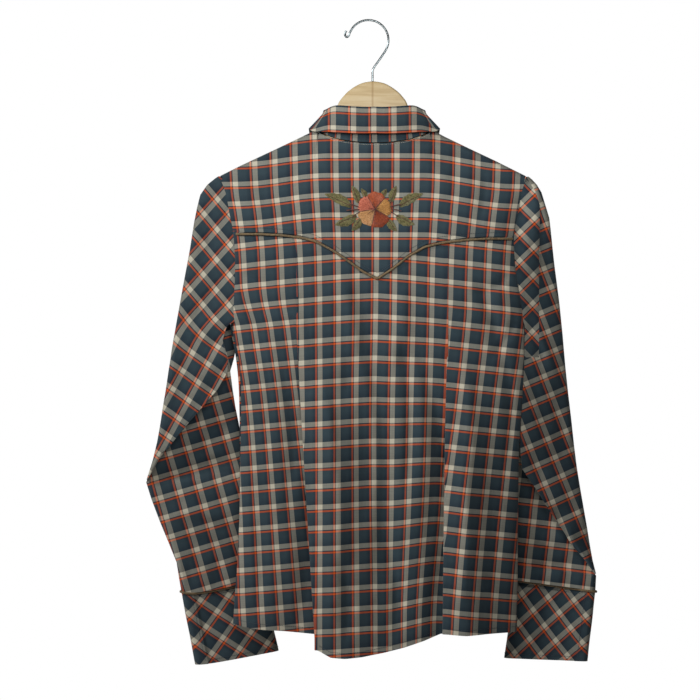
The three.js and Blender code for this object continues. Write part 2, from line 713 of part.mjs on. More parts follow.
// Front panels with an overlapping middle; side -1 is the under one, 1 the one with the placket
function makeFront(name, side) {
  const rows = frontCells.rows;
  const sideCells = frontCells.side;
  const columns = sideCells + frontCells.neck;
  const inner = neckEdge(neckFrontAngle).x - neckCentreX;
  const grid = [];
  for (let i = 0; i <= rows; i += 1) grid.push([]);
  for (let j = 0; j <= columns; j += 1) {
    let topX;
    let topZ;
    if (j <= sideCells) {
      const part = Math.sin(((Math.PI / 2) * j) / sideCells);
      const innerX = neckCentreX + side * inner;
      const seamZ = (x) => ridge(x) - frontYokeDrop - 2 * seamGap - 0.4;
      const outerX = side < 0 ? leftEdge(seamZ(innerX) - 25) : rightEdge(seamZ(innerX) - 25);
      topX = lerp(outerX, innerX, part);
      topZ = seamZ(topX);
    } else {
      const part = (j - sideCells) / frontCells.neck;
      const p = neckEdge(side * lerp(neckFrontAngle + 1.2, 180, part));
      topX = p.x - side * placketHalf * smooth(part, 0.5, 1);
      topZ = frontNeckAt(topX);
    }
    const lowU = 1 - Math.sin(((Math.PI / 2) * j) / columns) * 0.4 - (j / columns) * 0.6;
    for (let i = 0; i <= rows; i += 1) {
      const part = i / rows;
      let x = side < 0 ? -150 : 150;
      let z = -500;
      for (let pass = 0; pass < settlePasses; pass += 1) {
        z = lerp(hemZ(x) + frontHemRise, topZ, part);
        const edgeX = side < 0 ? leftEdge(z) : rightEdge(z);
        const centreX = frontMiddle(z) - side * placketHalf;
        const lowX = lerp(centreX, edgeX, Math.sin((Math.PI / 2) * lowU * (1 - sideTrim)));
        const shareTop = part ** 3;
        x = lerp(lowX, topX, shareTop);
        if (j === 0) x = edgeX - side * 0.02;
      }
      const lap = side > 0 ? placketStep * (1 - smooth(x, neckCentreX + 20, neckCentreX + 52)) : 0;
      grid[i].push(frontPoint(x, z, lap));
    }
  }
  addMesh(name, wallGeometry(grid), colours.plaidBody);
}

// Snap band on the upper front, on the points of the panel moved out
function makePlacket() {
  const rows = placketCells.rows;
  const columns = placketCells.across;
  const grid = [];
  for (let i = 0; i <= rows; i += 1) {
    const row = [];
    for (let j = 0; j <= columns; j += 1) {
      let z = -500;
      let x = 0;
      for (let pass = 0; pass < settlePasses; pass += 1) {
        x = frontMiddle(z) + placketHalf * placketTrim * ((2 * j) / columns - 1);
        z = lerp(hemZ(x) + placketHemRise, frontNeckZ - 3, i / rows);
      }
      row.push(frontPoint(x, z, placketOut));
    }
    grid.push(row);
  }
  addMesh("placket", wallGeometry(grid), colours.plaidBody);
}

// Direction away from the middle of the neck at a place of the ring
function neckOut(angle) {
  const turn = THREE.MathUtils.degToRad(angle);
  return new THREE.Vector3(Math.sin(turn), -Math.cos(turn) * neckFlatten, 0).normalize();
}

// The folded top of the collar stand
function standTop(angle) {
  const at = Math.abs(angle);
  const rise = column(collarRows, "angle", "rise", at);
  const lean = column(collarRows, "angle", "lean", at);
  const base = neckEdge(angle);
  return base.addScaledVector(neckOut(angle), -lean).add(new THREE.Vector3(0, 0, rise));
}

// Angles round the collar: shared steps of the stand and the leaf, and the ends of each
function collarAngles(limit) {
  const list = [-limit];
  for (let angle = -180; angle <= 180; angle += collarStep) {
    if (Math.abs(angle) < limit - 3) list.push(angle);
  }
  list.push(limit);
  return list;
}

// Collar stand: a band round the neck whose front ends overlap
function makeStand() {
  const rows = standRows;
  const grid = [];
  for (let i = 0; i <= rows; i += 1) {
    const row = [];
    for (const angle of collarAngles(standOverlapAngle)) {
      const lapOver = smooth(angle, standLapAngle, standOverlapAngle);
      const lapUnder = smooth(-angle, standLapAngle, standOverlapAngle);
      const lap = standLapRise * (lapOver - lapUnder);
      const inward = -standInward * Math.abs(Math.sin(THREE.MathUtils.degToRad(angle)));
      const low = neckEdge(angle).addScaledVector(neckOut(angle), inward);
      low.z += liftOff + 0.7;
      const high = standTop(angle);
      row.push(low.lerp(high, i / rows).addScaledVector(neckOut(angle), lap));
    }
    grid.push(row);
  }
  addMesh("collar_stand", wallGeometry(grid), colours.plaidCollar);
}

// Collar leaf: rolls over the top of the stand and spreads to its points in front
function makeLeaf() {
  const grid = [...leafRoll, ...leafFall].map(() => []);
  for (const angle of collarAngles(leafFrontAngle)) {
    const at = Math.abs(angle);
    const drop = column(collarRows, "angle", "drop", at);
    const spread = column(collarRows, "angle", "spread", at);
    const out = neckOut(angle);
    const top = standTop(angle);
    const up = new THREE.Vector3(0, 0, 1);
    const point = (away, rise) => {
      const p = top.clone().addScaledVector(out, away).addScaledVector(up, rise);
      const clear = p.y > 0 ? wallDepth(p.x, p.z, depthFront) + placketStep + leafClear : 0;
      if (p.y > 0 && at > leafClearAngle) p.y = Math.max(p.y, clear);
      return p;
    };
    const rolled = leafRoll[leafRoll.length - 1].away;
    leafRoll.forEach(({ away, rise }, n) => grid[n].push(point(away, rise)));
    leafFall.forEach((fall, n) => {
      const away = lerp(rolled, spread, fall.spread);
      grid[leafRoll.length + n].push(point(away, -drop * fall.drop));
    });
  }
  addMesh("collar_leaf", wallGeometry(grid), colours.plaidCollar);
}

// One section of a sleeve: upper layers from the armhole or underarm edge out to the crease,
// round it, in behind to the far edge and back again between the layers
function sleeveSection(row) {
  const out = Math.sign(row.crease - row.far);
  const { layer, outerTurn, farTurn, innerTurn } = sleeveCells;
  const open = armholeShare(row.z);
  const ease = out * (armholeGap + shoulderEase.width * smooth(row.z, shoulderEase.startZ, shoulderEase.endZ));
  const armhole = (out < 0 ? leftEdge(row.z) : rightEdge(row.z)) + ease;
  const near = open > 0 ? armhole : row.near;
  const upper = Math.abs(row.crease - near);
  const y1 = row.skin;
  const y2 = y1 + row.loft;
  const y3 = y1 + 2 * row.loft;
  const y4 = y1 + 3 * row.loft;
  const middle = (y1 + y2) / 2;
  const points = [];
  const cap = upper < 1;
  const bulge = cap ? creaseBulge : Math.min(creaseBulge, 1.5 * row.loft, 0.5 * upper);
  const turnX = row.crease - out * bulge;
  const farBulge = 0.5 * row.loft;
  const farX = row.far + out * farBulge;
  const walls = (y, reach) => y + row.sink * reach;
  const shut = 1 - open;
  const startOf = (sign) =>
    open > 0
      ? sign * (armholeDepth * open + armholeGap * shut) + middle * shut
      : middle + sign * edgeSpread;
  if (cap) {
    const count = layer + outerTurn;
    for (let k = 0; k < count; k += 1) {
      const angle = lerp(-0.04, Math.PI / 2, k / count);
      const half = (y4 - y2) / 2;
      points.push([turnX + out * bulge * Math.cos(angle), y2 + half + half * Math.sin(angle)]);
    }
  } else {
    for (let k = 0; k < layer; k += 1) {
      const part = k / layer;
      const eased = smooth(part, 0, 0.45);
      points.push([lerp(near, turnX, part), lerp(startOf(-1), y1, eased)]);
    }
    for (let k = 0; k < outerTurn; k += 1) {
      const angle = lerp(-Math.PI / 2, Math.PI / 2, k / outerTurn);
      points.push([turnX + out * bulge * Math.cos(angle), (y1 + y4) / 2 + 1.5 * row.loft * Math.sin(angle)]);
    }
  }
  for (let k = 0; k < layer; k += 1) {
    const part = k / layer;
    points.push([lerp(turnX, farX, part), walls(y4, part)]);
  }
  const farLow = cap ? y2 : y3;
  const farMid = (farLow + y4) / 2;
  const farHalf = (y4 - farLow) / 2;
  for (let k = 0; k < farTurn; k += 1) {
    const angle = lerp(Math.PI / 2, -Math.PI / 2, k / farTurn);
    points.push([farX - out * farBulge * Math.cos(angle), walls(farMid + farHalf * Math.sin(angle), 1)]);
  }
  const innerBulge = Math.min(bulge * 0.55, row.loft / 2);
  const innerX = cap ? turnX : turnX - out * 0.5;
  for (let k = 0; k < layer; k += 1) {
    const part = k / layer;
    points.push([lerp(farX, innerX, part), walls(farLow, 1 - part)]);
  }
  if (cap) {
    const count = innerTurn + layer;
    for (let k = 0; k <= count; k += 1) {
      const angle = lerp(-Math.PI / 2, -0.32, k / count);
      const half = (y4 - y2) / 2;
      points.push([turnX + out * bulge * Math.cos(angle), y2 + half + half * Math.sin(angle)]);
    }
  } else {
    for (let k = 0; k < innerTurn; k += 1) {
      const angle = lerp(Math.PI / 2, -Math.PI / 2, k / innerTurn);
      const mid = (y2 + y3) / 2;
      points.push([innerX + out * innerBulge * Math.cos(angle), mid + (row.loft / 2) * Math.sin(angle)]);
    }
    for (let k = 0; k <= layer; k += 1) {
      const part = k / layer;
      const eased = smooth(part, 0.55, 1);
      points.push([lerp(innerX, near, part), lerp(y2, startOf(1), eased)]);
    }
  }
  return points;
}

// Sag of a sleeve's end and cuff at a distance from the outer edge
function bowDrop(cuff, distance) {
  return cuff.bow * (1 - Math.exp(-Math.max(0, distance) / bowRun));
}

// A sleeve from the shoulder tip down to its cuff
function makeSleeve(name, rows, cuff) {
  const heights = [];
  rows.forEach((row, i) => {
    const next = rows[i + 1];
    if (!next) {
      heights.push(row.z);
      return;
    }
    const count = row.z - next.z > longRow ? 2 : 1;
    for (let k = 0; k < count; k += 1) heights.push(lerp(row.z, next.z, k / count));
  });
  const keys = ["near", "crease", "far", "skin", "loft", "sink", "tilt"];
  const grid = heights.map((z) => {
    const row = { z };
    for (const key of keys) row[key] = straight([...rows].reverse(), "z", key, z);
    const slope = Math.tan(THREE.MathUtils.degToRad(row.tilt));
    const sag = smooth(-z, -bowStartZ, -bowFullZ);
    return sleeveSection(row).map(([x, y]) => {
      const pleat = pleatRise(name, x, y, row);
      const drop = sag * bowDrop(cuff, Math.abs(x - row.crease));
      return new THREE.Vector3(x, y - pleat, z + slope * (x - row.crease) - drop);
    });
  });
  addMesh(name, wallGeometry(grid), colours.plaidSleeve);
}

// The long pleat of the right sleeve, which lifts the layer beside the armhole
function pleatRise(name, x, y, row) {
  if (name !== "sleeve_right" || y > row.skin + 0.5 * row.loft) return 0;
  const { topZ, endZ, grow, fall, halfLip, fade } = rightPleat;
  const grown = smooth(topZ - row.z, 0, grow) * (1 - smooth(endZ - row.z, 0, fall));
  const inside = smooth(rightPleat.x - x, -halfLip, halfLip) * smooth(x - row.near, 0, fade);
  return rightPleat.rise * grown * inside;
}

// A cuff: a band round the end of the sleeve whose ends lap by the outer edge
function makeCuff(name, cuff, out) {
  const capRadius = cuffDepth / 2;
  const straightRun = cuff.width - 2 * capRadius;
  const around = 2 * straightRun + 2 * Math.PI * capRadius;
  const total = around + cuffOverlap;
  const place = (length, lift) => {
    const s = ((length % around) + around) % around;
    const r = capRadius + lift;
    const quarter = Math.PI * capRadius;
    if (s < straightRun) return [s + capRadius, -r];
    if (s < straightRun + quarter) {
      const a = (s - straightRun) / capRadius - Math.PI / 2;
      return [cuff.width - capRadius + r * Math.cos(a), r * Math.sin(a)];
    }
    if (s < 2 * straightRun + quarter) return [cuff.width - capRadius - (s - straightRun - quarter), r];
    const a = (s - 2 * straightRun - quarter) / capRadius + Math.PI / 2;
    return [capRadius + r * Math.cos(a), r * Math.sin(a)];
  };
  const cells = cuffCells.around;
  const rows = cuffCells.rows;
  const turn = THREE.MathUtils.degToRad(cuff.turn);
  const lean = THREE.MathUtils.degToRad(cuffLean);
  const toShirt = ([wide, deep], down) => {
    const long = down * (1 + (cuff.taper * wide) / cuff.width);
    const x = cuff.x - out * (wide * Math.cos(turn)) + Math.sin(turn) * long;
    const level = cuff.z + Math.abs(Math.sin(turn)) * wide - Math.cos(turn) * long;
    const z = level - bowDrop(cuff, wide * Math.cos(turn));
    const y = cuff.y - cuffSeat + deep + wide * Math.tan(lean);
    return new THREE.Vector3(x, y, z);
  };
  const grid = [];
  for (let i = 0; i <= rows; i += 1) {
    const row = [];
    for (let j = 0; j <= cells; j += 1) {
      const length = (total * j) / cells;
      const lift = cuffLapRise * smooth(length, around - cuffOverlap, around - 1);
      const flare = cuffFlare * (i / rows);
      row.push(toShirt(place(length, lift + flare), (cuff.height * i) / rows));
    }
    grid.push(row);
  }
  addMesh("cuff_" + name, wallGeometry(grid), colours.plaidCuff);
  const cord = [];
  const cordClear = pipingRadius + liftOff + cuffCord.lift;
  for (let j = 0; j <= cuffCord.points; j += 1) {
    const length = lerp(cuffCord.start, around - cuffCord.end, j / cuffCord.points);
    const past = 1 - smooth(length, cuffOverlap, cuffOverlap + cuffCord.fade);
    const nearing = smooth(length, around - cuffOverlap - 6, around - cuffOverlap + 8);
    const under = Math.max(past, nearing);
    cord.push(toShirt(place(length, cordClear + cuffLapRise * under), cuffCord.down));
  }
  const piping = cordGeometry(cord, pipingRadius, cuffCord.steps, cordSides);
  addMesh("cuff_piping_" + name, piping, colours.piping, 0.7);
  cuffSnapPlaces.forEach((share, k) => {
    const from = place(around - Math.PI * capRadius - cuffSnapInset, 0);
    const seat = toShirt(from, cuff.height * share);
    const lift = liftOff + cuffFlare * share + tightSnapLift;
    addSnap("cuff_snap_" + name + "_" + (k + 1), seat, new THREE.Vector3(0, 1, 0), lift);
  });
}

// A snap's cap: a low dome with a rolled rim
function addSnap(name, seat, facing, lift) {
  const profile = [
    new THREE.Vector2(0, 0),
    new THREE.Vector2(snapRadius * 0.94, 0),
    new THREE.Vector2(snapRadius, snapHeight * 0.4),
    new THREE.Vector2(snapRadius * 0.82, snapHeight * 0.8),
    new THREE.Vector2(0, snapHeight),
  ];
  const cap = new THREE.LatheGeometry(profile, snapSides);
  const mesh = addMesh(name, cap, colours.snap, 0.3, 0.1);
  mesh.quaternion.setFromUnitVectors(new THREE.Vector3(0, 1, 0), facing);
  mesh.position.copy(seat).addScaledVector(facing, lift);
}

function makeFrontSnaps() {
  for (let k = 0; k < snapCount; k += 1) {
    const z = snapTopZ - k * snapPitch;
    const seat = frontPoint(frontMiddle(z), z, placketOut);
    addSnap("snap_" + (k + 1), seat, new THREE.Vector3(0, 1, 0), liftOff + snapLift);
  }
  const low = neckEdge(180);
  const high = standTop(180);
  const seat = low.lerp(high, 0.5).add(new THREE.Vector3(0, standLapRise, 0));
  addSnap("snap_stand", seat, new THREE.Vector3(0, 1, 0), liftOff + tightSnapLift);
}

// Cord piping in the yoke seam
function makeYokePiping() {
  const points = [];
  for (let k = 0; k <= yokeCord.points; k += 1) {
    const x = lerp(yokeCord.startX, yokeCord.endX, k / yokeCord.points);
    points.push(backPoint(x, yokeZ(x) - pipingRadius - liftOff, pipingRadius + liftOff + seamGap));
  }
  const piping = cordGeometry(points, pipingRadius, yokeCord.steps, cordSides);
  addMesh("yoke_piping", piping, colours.piping, 0.7);
}

// Wooden hanger: a flat shaped board with rounded edges
function makeHanger() {
  const outline = new THREE.Shape();
  const all = [...hangerTop, ...hangerUnder];
  all.forEach((p, k) => (k === 0 ? outline.moveTo(p.x, p.z) : outline.lineTo(p.x, p.z)));
  outline.closePath();
  const board = new THREE.ExtrudeGeometry(outline, {
    depth: hangerThick - 2 * hangerBevel,
    steps: 1,
    bevelEnabled: true,
    bevelThickness: hangerBevel,
    bevelSize: hangerBevel,
    bevelOffset: -hangerBevel,
    bevelSegments: 2,
  });
  const mesh = addMesh("hanger_wood", board, colours.maple, 0.55);
  mesh.rotation.x = Math.PI / 2;
  mesh.position.y = hangerThick / 2 - hangerBevel;
}

// Wire hook: straight up from the board, round a wide arc and a small turned tip
function makeHook() {
  const line = [...hookShank];
  for (let k = 0; k <= hookArc.count; k += 1) {
    const angle = THREE.MathUtils.degToRad(lerp(hookArc.first, hookArc.last, k / hookArc.count));
    const x = hookCentre.x + hookRadius * Math.cos(angle);
    line.push({ x, z: hookCentre.z + hookRadius * Math.sin(angle) });
  }
  line.push(...hookTip);
  const points = line.map(({ x, z }) => new THREE.Vector3(x, 0, z));
  addMesh("hanger_hook", cordGeometry(points, wireRadius, 44, 8), colours.steel, 0.25, 1);
}

makeBack();
makeYoke();
makeFront("front_left", -1);
makeFront("front_right", 1);
makePlacket();
makeStand();
makeLeaf();
makeSleeve("sleeve_left", sleeveRows.left, cuffs.left);
makeSleeve("sleeve_right", sleeveRows.right, cuffs.right);
makeCuff("left", cuffs.left, -1);
makeCuff("right", cuffs.right, 1);
makeFrontSnaps();
makeYokePiping();
makeHanger();
makeHook();

export default shirt;
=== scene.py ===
import bpy
import math
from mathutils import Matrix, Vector


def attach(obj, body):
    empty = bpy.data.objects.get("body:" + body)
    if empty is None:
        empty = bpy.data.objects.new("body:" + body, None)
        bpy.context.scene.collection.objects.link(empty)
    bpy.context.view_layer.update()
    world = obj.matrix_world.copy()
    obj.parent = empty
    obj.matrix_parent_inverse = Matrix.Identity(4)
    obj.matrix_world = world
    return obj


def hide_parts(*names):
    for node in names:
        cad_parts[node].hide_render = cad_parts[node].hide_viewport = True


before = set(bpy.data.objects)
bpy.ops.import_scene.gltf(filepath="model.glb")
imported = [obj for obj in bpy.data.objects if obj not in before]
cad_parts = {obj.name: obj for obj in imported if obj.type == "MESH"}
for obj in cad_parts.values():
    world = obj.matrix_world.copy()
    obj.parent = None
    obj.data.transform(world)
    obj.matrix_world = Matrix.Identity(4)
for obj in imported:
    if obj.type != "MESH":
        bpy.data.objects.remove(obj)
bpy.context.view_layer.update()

# western snap shirt on a wooden hanger, back view; sizes in mm, turned to metres at the end
mm = 0.001


# small helpers

def clamp(v, low, high):
    return max(low, min(high, v))


def mix(a, b, t):
    return a + (b - a) * t


def smooth(v, low, high):  # soft step from 0 at low to 1 at high
    t = clamp((v - low) / (high - low), 0.0, 1.0)
    return t * t * (3 - 2 * t)


def straight(rows, key, name, at):  # value of a column, straight between rows
    if at <= rows[0][key]:
        return rows[0][name]
    for a, b in zip(rows, rows[1:]):
        if at <= b[key]:
            return mix(a[name], b[name], (at - a[key]) / (b[key] - a[key]))
    return rows[-1][name]


def curved(rows, key, name, at):  # the same, smooth through the rows
    if at <= rows[0][key]:
        return rows[0][name]
    if at >= rows[-1][key]:
        return rows[-1][name]
    i = 0
    while at > rows[i + 1][key]:
        i += 1
    a, b = rows[i], rows[i + 1]
    span = b[key] - a[key]
    t = (at - a[key]) / span
    rise = b[name] - a[name]
    slopeA = rise
    slopeB = rise
    if i > 0:
        before = rows[i - 1]
        slopeA = (b[name] - before[name]) / (b[key] - before[key]) * span
    if i + 2 < len(rows):
        after = rows[i + 2]
        slopeB = (after[name] - a[name]) / (after[key] - a[key]) * span
    t2, t3 = t * t, t * t * t
    return ((2 * t3 - 3 * t2 + 1) * a[name] + (t3 - 2 * t2 + t) * slopeA
            + (3 * t2 - 2 * t3) * b[name] + (t3 - t2) * slopeB)


def table(names, *rows):  # short tables: one row of names, then the rows of numbers
    keys = names.split()
    return [dict(zip(keys, row)) for row in rows]


def through(points, steps, closed=False):  # fine points on a smooth line through given ones
    fine = []
    count = len(points)
    for n in range(count if closed else count - 1):
        a, b = points[n], points[(n + 1) % count]
        before = points[n - 1] if closed or n > 0 else a
        after = points[(n + 2) % count] if closed else points[min(n + 2, count - 1)]
        for s in range(steps):
            t = s / steps
            fine.append(tuple(0.5 * (2 * p + (q - o) * t + (2 * o - 5 * p + 4 * q - r) * t * t
                                     + (3 * p - o - 3 * q + r) * t ** 3)
                              for o, p, q, r in zip(before, a, b, after)))
    if not closed:
        fine.append(tuple(points[-1]))
    return fine


# the camera looks at the back of the shirt from a little way off

def makeCamera():
    camera = {"middleX": -0.0237, "middleZ": -0.4275, "away": 3.4, "width": 0.910}
    data = bpy.data.cameras.new("camera")
    data.sensor_width = 36.0
    data.lens = 36.0 * camera["away"] / camera["width"]
    data.clip_end = 30
    obj = bpy.data.objects.new("camera", data)
    bpy.context.collection.objects.link(obj)
    obj.location = (camera["middleX"], -camera["away"], camera["middleZ"])
    obj.rotation_euler = (math.radians(90), 0, 0)
    bpy.context.scene.camera = obj


makeCamera()
print("camera set")


# the cut of the body, from the hanger's ridge to the hem

body = {
    "depth": 27.0,          # half depth of the walls
    "bend": 8.5,            # bend over the hanger
    "growth": 34.0,
    "underarmZ": -392.0,
    "underarmRound": 42.0,
    "creaseGain": 3.6,
    "edgeEase": 0.08,       # share of the half width where folds and waves fade to the side seams
}
bodyEdges = table(
    "z left right",
    (-830, -178, 191.5), (-745, -173, 193.5), (-700, -169.5, 194), (-640, -167, 194.5),
    (-570, -166, 195.5), (-505, -165, 199), (-463, -165.5, 202), (-430, -169.5, 202.5),
    (-404, -176, 202.5), (-390, -176.5, 202), (-360, -174, 197), (-328, -172.5, 191),
    (-301, -173, 189), (-276, -175, 189), (-250, -180, 194), (-222, -185, 199), (-202, -192, 205))
ridgeLine = table(
    "x z",
    (-230, -232), (-192, -201.5), (-167, -189), (-133, -173), (-98, -156.5), (-66, -141), (6, -116),
    (82, -141.5), (98, -150), (130, -165.5), (164, -181.5), (205, -202), (240, -232))
yokeSeam = table(
    "x z",
    (-185, -275), (-140, -275.5), (-113, -277), (-87, -280), (-68, -285), (-47, -296), (-28, -309),
    (-7, -324), (12, -333.5), (33, -319), (51, -304.5), (73, -292), (94, -287), (126, -283),
    (152, -281.5), (200, -281))
hemLine = table(
    "x z",
    (-185, -781), (-161, -786), (-142, -789), (-113, -790.5), (-68.2, -795.5), (-67.4, -813.5),
    (-49, -823.5), (-30, -825), (-8, -823), (20, -818), (46, -811.5), (73, -802.5), (95, -794),
    (126, -796), (152, -794.5), (200, -793))
backFolds = table(
    "topX hemX topZ rise bulge crest fade halfLip sink reach",
    (-92, -67.5, -400, 2.5, 7.5, 30, 95, 2, 12, 66), (102, 97.5, -440, 2.5, 7.5, 30, 78, 2, 10, 34))
backWaves = table(
    "topX hemX topZ hemZ depth width",
    (-4, 22, -330, -700, 6.5, 22), (-150, -132, -370, -700, 2.5, 12),
    (-122, -112, -205, -260, 5, 20), (150, 160, -380, -800, 2, 18))
frontWaves = table(
    "topX hemX topZ hemZ depth width",
    (-90, -80, -360, -800, 3.5, 26), (96, 110, -380, -800, 3, 24))
neck = {"x": 8.0, "half": 72.0, "backZ": -160.5, "sideZ": -144.0, "frontZ": -222.0,
        "seamAngle": 118, "seamDrop": 46}      # start and drop of the yoke's front seams

# creases pressed or hung into the cloth: from, to, half width, depth (plus is into the shirt)
backCreases = table(
    "x0 z0 x1 z1 width depth",
    (-108, -400, -92, -800, 12, 1.5), (78, -440, 76, -800, 9, 1.2), (112, -520, 108, -800, 7, -1.4),
    (-62, -470, -54, -810, 9, -1.2), (42, -338, 30, -450, 11, -1.4), (-36, -332, -24, -450, 11, -1.4),
    (-146, -392, -132, -560, 4, 1.6), (-120, -420, -104, -640, 7, 1.5), (-100, -360, -80, -470, 5, -1.1),
    (-40, -350, -34, -520, 9, 1.1), (34, -380, 44, -640, 8, 1.6), (-14, -420, 0, -700, 9, -1.4),
    (66, -420, 72, -700, 8, 1.3), (118, -430, 122, -640, 7, -1.3), (140, -340, 168, -430, 8, 1.8),
    (172, -420, 174, -600, 7, 1.3), (150, -560, 146, -780, 8, 1.2), (-150, -620, -146, -780, 8, 1.3),
    (-108, -660, -100, -785, 7, -1.2), (-40, -690, -30, -815, 8, 1.4), (20, -660, 36, -800, 9, 1.4),
    (-168, -330, -120, -352, 6, 1.4), (184, -330, 140, -356, 6, 1.4), (-166, -372, -128, -420, 5, 1.5),
    (192, -380, 158, -440, 5, 1.5), (-60, -470, -50, -600, 6, -1.0), (88, -520, 84, -700, 5, 1.2))
yokeCreases = table(
    "x0 z0 x1 z1 width depth",
    (-150, -196, -132, -262, 8, 0.8), (-96, -172, -104, -250, 9, 0.7), (150, -196, 140, -270, 8, 0.8),
    (110, -172, 100, -262, 10, 0.7), (-60, -168, -92, -190, 7, 0.6), (76, -168, 104, -190, 7, 0.6),
    (-40, -172, -44, -214, 8, 0.5), (50, -176, 56, -224, 8, 0.5))


def ridge(x):
    return straight(ridgeLine, "x", "z", x)


def yokeZ(x):
    return straight(yokeSeam, "x", "z", x)


def hemZ(x):
    return straight(hemLine, "x", "z", x)


def leftEdge(z):
    return curved(bodyEdges, "z", "left", z)


def rightEdge(z):
    return curved(bodyEdges, "z", "right", z)


def across(x, z):  # -1 at the left edge, 1 at the right edge
    left, right = leftEdge(z), rightEdge(z)
    return clamp((2 * x - left - right) / (right - left), -1, 1)


def armholeShare(z):
    return math.sqrt(clamp((z - body["underarmZ"]) / body["underarmRound"], 0, 1))


def wallDepth(x, z):
    u = across(x, z)
    bend = body["bend"]
    side = math.sqrt(max(0, 1 - abs(u) ** 3))
    drop = max(0, ridge(x) - z)
    over = bend * math.sqrt(max(0, 1 - (1 - min(drop, bend) / bend) ** 2))
    free = armholeShare(z)
    grown = 1 - math.exp(-max(drop - bend, 0) / body["growth"])
    return over * (free + (1 - free) * side) + (body["depth"] - bend) * grown * side


def foldLip(fold, z):
    return mix(fold["topX"], fold["hemX"], clamp((fold["topZ"] - z) / (fold["topZ"] + 800), 0, 1))


def foldRise(x, z):
    total = 0
    for fold in backFolds:
        past = x - foldLip(fold, z)
        if past > -fold["halfLip"]:
            lip = fold["rise"] * smooth(past, -fold["halfLip"], fold["halfLip"])
            swell = fold["bulge"] * smooth(past, 0, fold["crest"])
            fade = 1 - smooth(past, fold["crest"], fold["fade"])
            total += (lip + swell) * smooth(fold["topZ"] - z, -20, 170) * fade
    return total


def foldSink(x, z):  # the cloth falls inward on its way under each lip, and rises again beyond it
    total = 0
    for fold in backFolds:
        lip = foldLip(fold, z)
        if x < lip:
            grown = smooth(fold["topZ"] - z, -20, 170)
            total += fold["sink"] * grown * smooth(x, lip - fold["reach"], lip)
    return total


def waveDepth(waves, x, z):
    total = 0
    for wave in waves:
        along = (wave["topZ"] - z) / (wave["topZ"] - wave["hemZ"])
        centre = mix(wave["topX"], wave["hemX"], clamp(along, 0, 1))
        fade = smooth(along, -0.15, 0.2) * (1 - smooth(along, 0.8, 1.25))
        total += wave["depth"] * fade * math.exp(-((x - centre) / wave["width"]) ** 2)
    return total


def creaseDepth(creases, x, z):  # soft trough or ridge along each line, fading at both ends
    total = 0
    for c in creases:
        dx, dz = c["x1"] - c["x0"], c["z1"] - c["z0"]
        length2 = dx * dx + dz * dz
        t = ((x - c["x0"]) * dx + (z - c["z0"]) * dz) / length2
        if -0.1 < t < 1.1:
            bow = 0.06 * math.sqrt(length2) * math.sin(math.pi * clamp(t, 0, 1))
            off = ((x - c["x0"]) * dz - (z - c["z0"]) * dx) / math.sqrt(length2) + bow
            if abs(off) < 3 * c["width"]:
                ends = smooth(t, -0.1, 0.3) * (1 - smooth(t, 0.65, 1.1))
                total += c["depth"] * min(1, c["width"] / 9) * ends * math.exp(-(off / c["width"]) ** 2)
    return total


def ripple(x, z):  # the small unevenness of washed cotton
    return (0.35 * math.sin(x * 0.071 + z * 0.023 + 1.3) * math.sin(z * 0.041 - x * 0.013)
            + 0.22 * math.sin(x * 0.153 - z * 0.047) * math.sin(z * 0.083 + x * 0.031 + 0.6)
            + 0.12 * math.sin(x * 0.31 + z * 0.12 + 2.1) * math.sin(z * 0.21 - x * 0.09))


def backY(x, z, creases):
    edge = smooth(1 - abs(across(x, z)), 0, body["edgeEase"])
    inward = (waveDepth(backWaves, x, z) + foldSink(x, z) + ripple(x, z)
              + body["creaseGain"] * creaseDepth(creases, x, z))
    return -wallDepth(x, z) - edge * (foldRise(x, z) - inward)


def frontY(x, z):
    edge = smooth(1 - abs(across(x, z)), 0, body["edgeEase"])
    return wallDepth(x, z) - edge * (waveDepth(frontWaves, x, z) + ripple(x + 40, z))


def backPoint(x, z, out=0.0, creases=backCreases):
    lean = (backY(x + 2, z, creases) - backY(x - 2, z, creases)) / 4
    size = math.hypot(lean, 1)
    return (x + out * lean / size, backY(x, z, creases) - out / size, z)


def frontPoint(x, z, out=0.0):
    lean = (frontY(x + 2, z) - frontY(x - 2, z)) / 4
    size = math.hypot(lean, 1)
    return (x - out * lean / size, frontY(x, z) + out / size, z)


# the check: where the bands fall on each panel, counted in repeats

check = {
    "repeat": 26.0,
    "backX": 9.8, "backZ": -357.2, "archX": 9.0,           # a crossing on the back, and its arch's middle
    "archLeft": 14.2, "archRight": 17.7,                   # fall of the cross bands at the side seams
    "yokeX": 10.6, "yokeZ": -202.0, "yokeDown": 25.6,      # a crossing on the yoke, and its pitch down
    "yokeArchLeft": 10.5, "yokeArchRight": 13.5,
    "frontX": 9.8, "frontZ": -205.0, "frontPitch": 24.6, "frontDown": 26.0,
    "collarPitch": 26.1,
}
yokePitch = table("z pitch", (-362, 24.1), (-297, 24.5), (-252, 25.3), (-220, 26.0), (-150, 26.5))
panelBands = table(  # left panel from its band -8, middle from 0 both ways, right from band 7
    "z leftX leftPitch midX midLeft midRight rightX rightPitch",
    (-830, -133, 24.8, 9.5, 24.0, 18.6, 136, 24.8),
    (-752, -138, 24.4, 9.0, 23.8, 19.3, 140, 24.8),
    (-622, -144.5, 22.0, 7.5, 23.1, 22.5, 152, 25.0),
    (-492, -154, 20.4, 7.3, 23.1, 24.0, 167, 24.2),
    (-400, -168, 21.4, 9.2, 23.9, 24.1, 179, 25.2),
    (-362, -173, 21.6, 9.6, 24.1, 24.1, 183, 25.7))


def archDrop(x, left, right):  # the cross bands arch down to both sides
    aside = x - check["archX"]
    if aside < 0:
        return left * (-aside / 169) ** 1.3
    return right * (aside / 175) ** 1.15


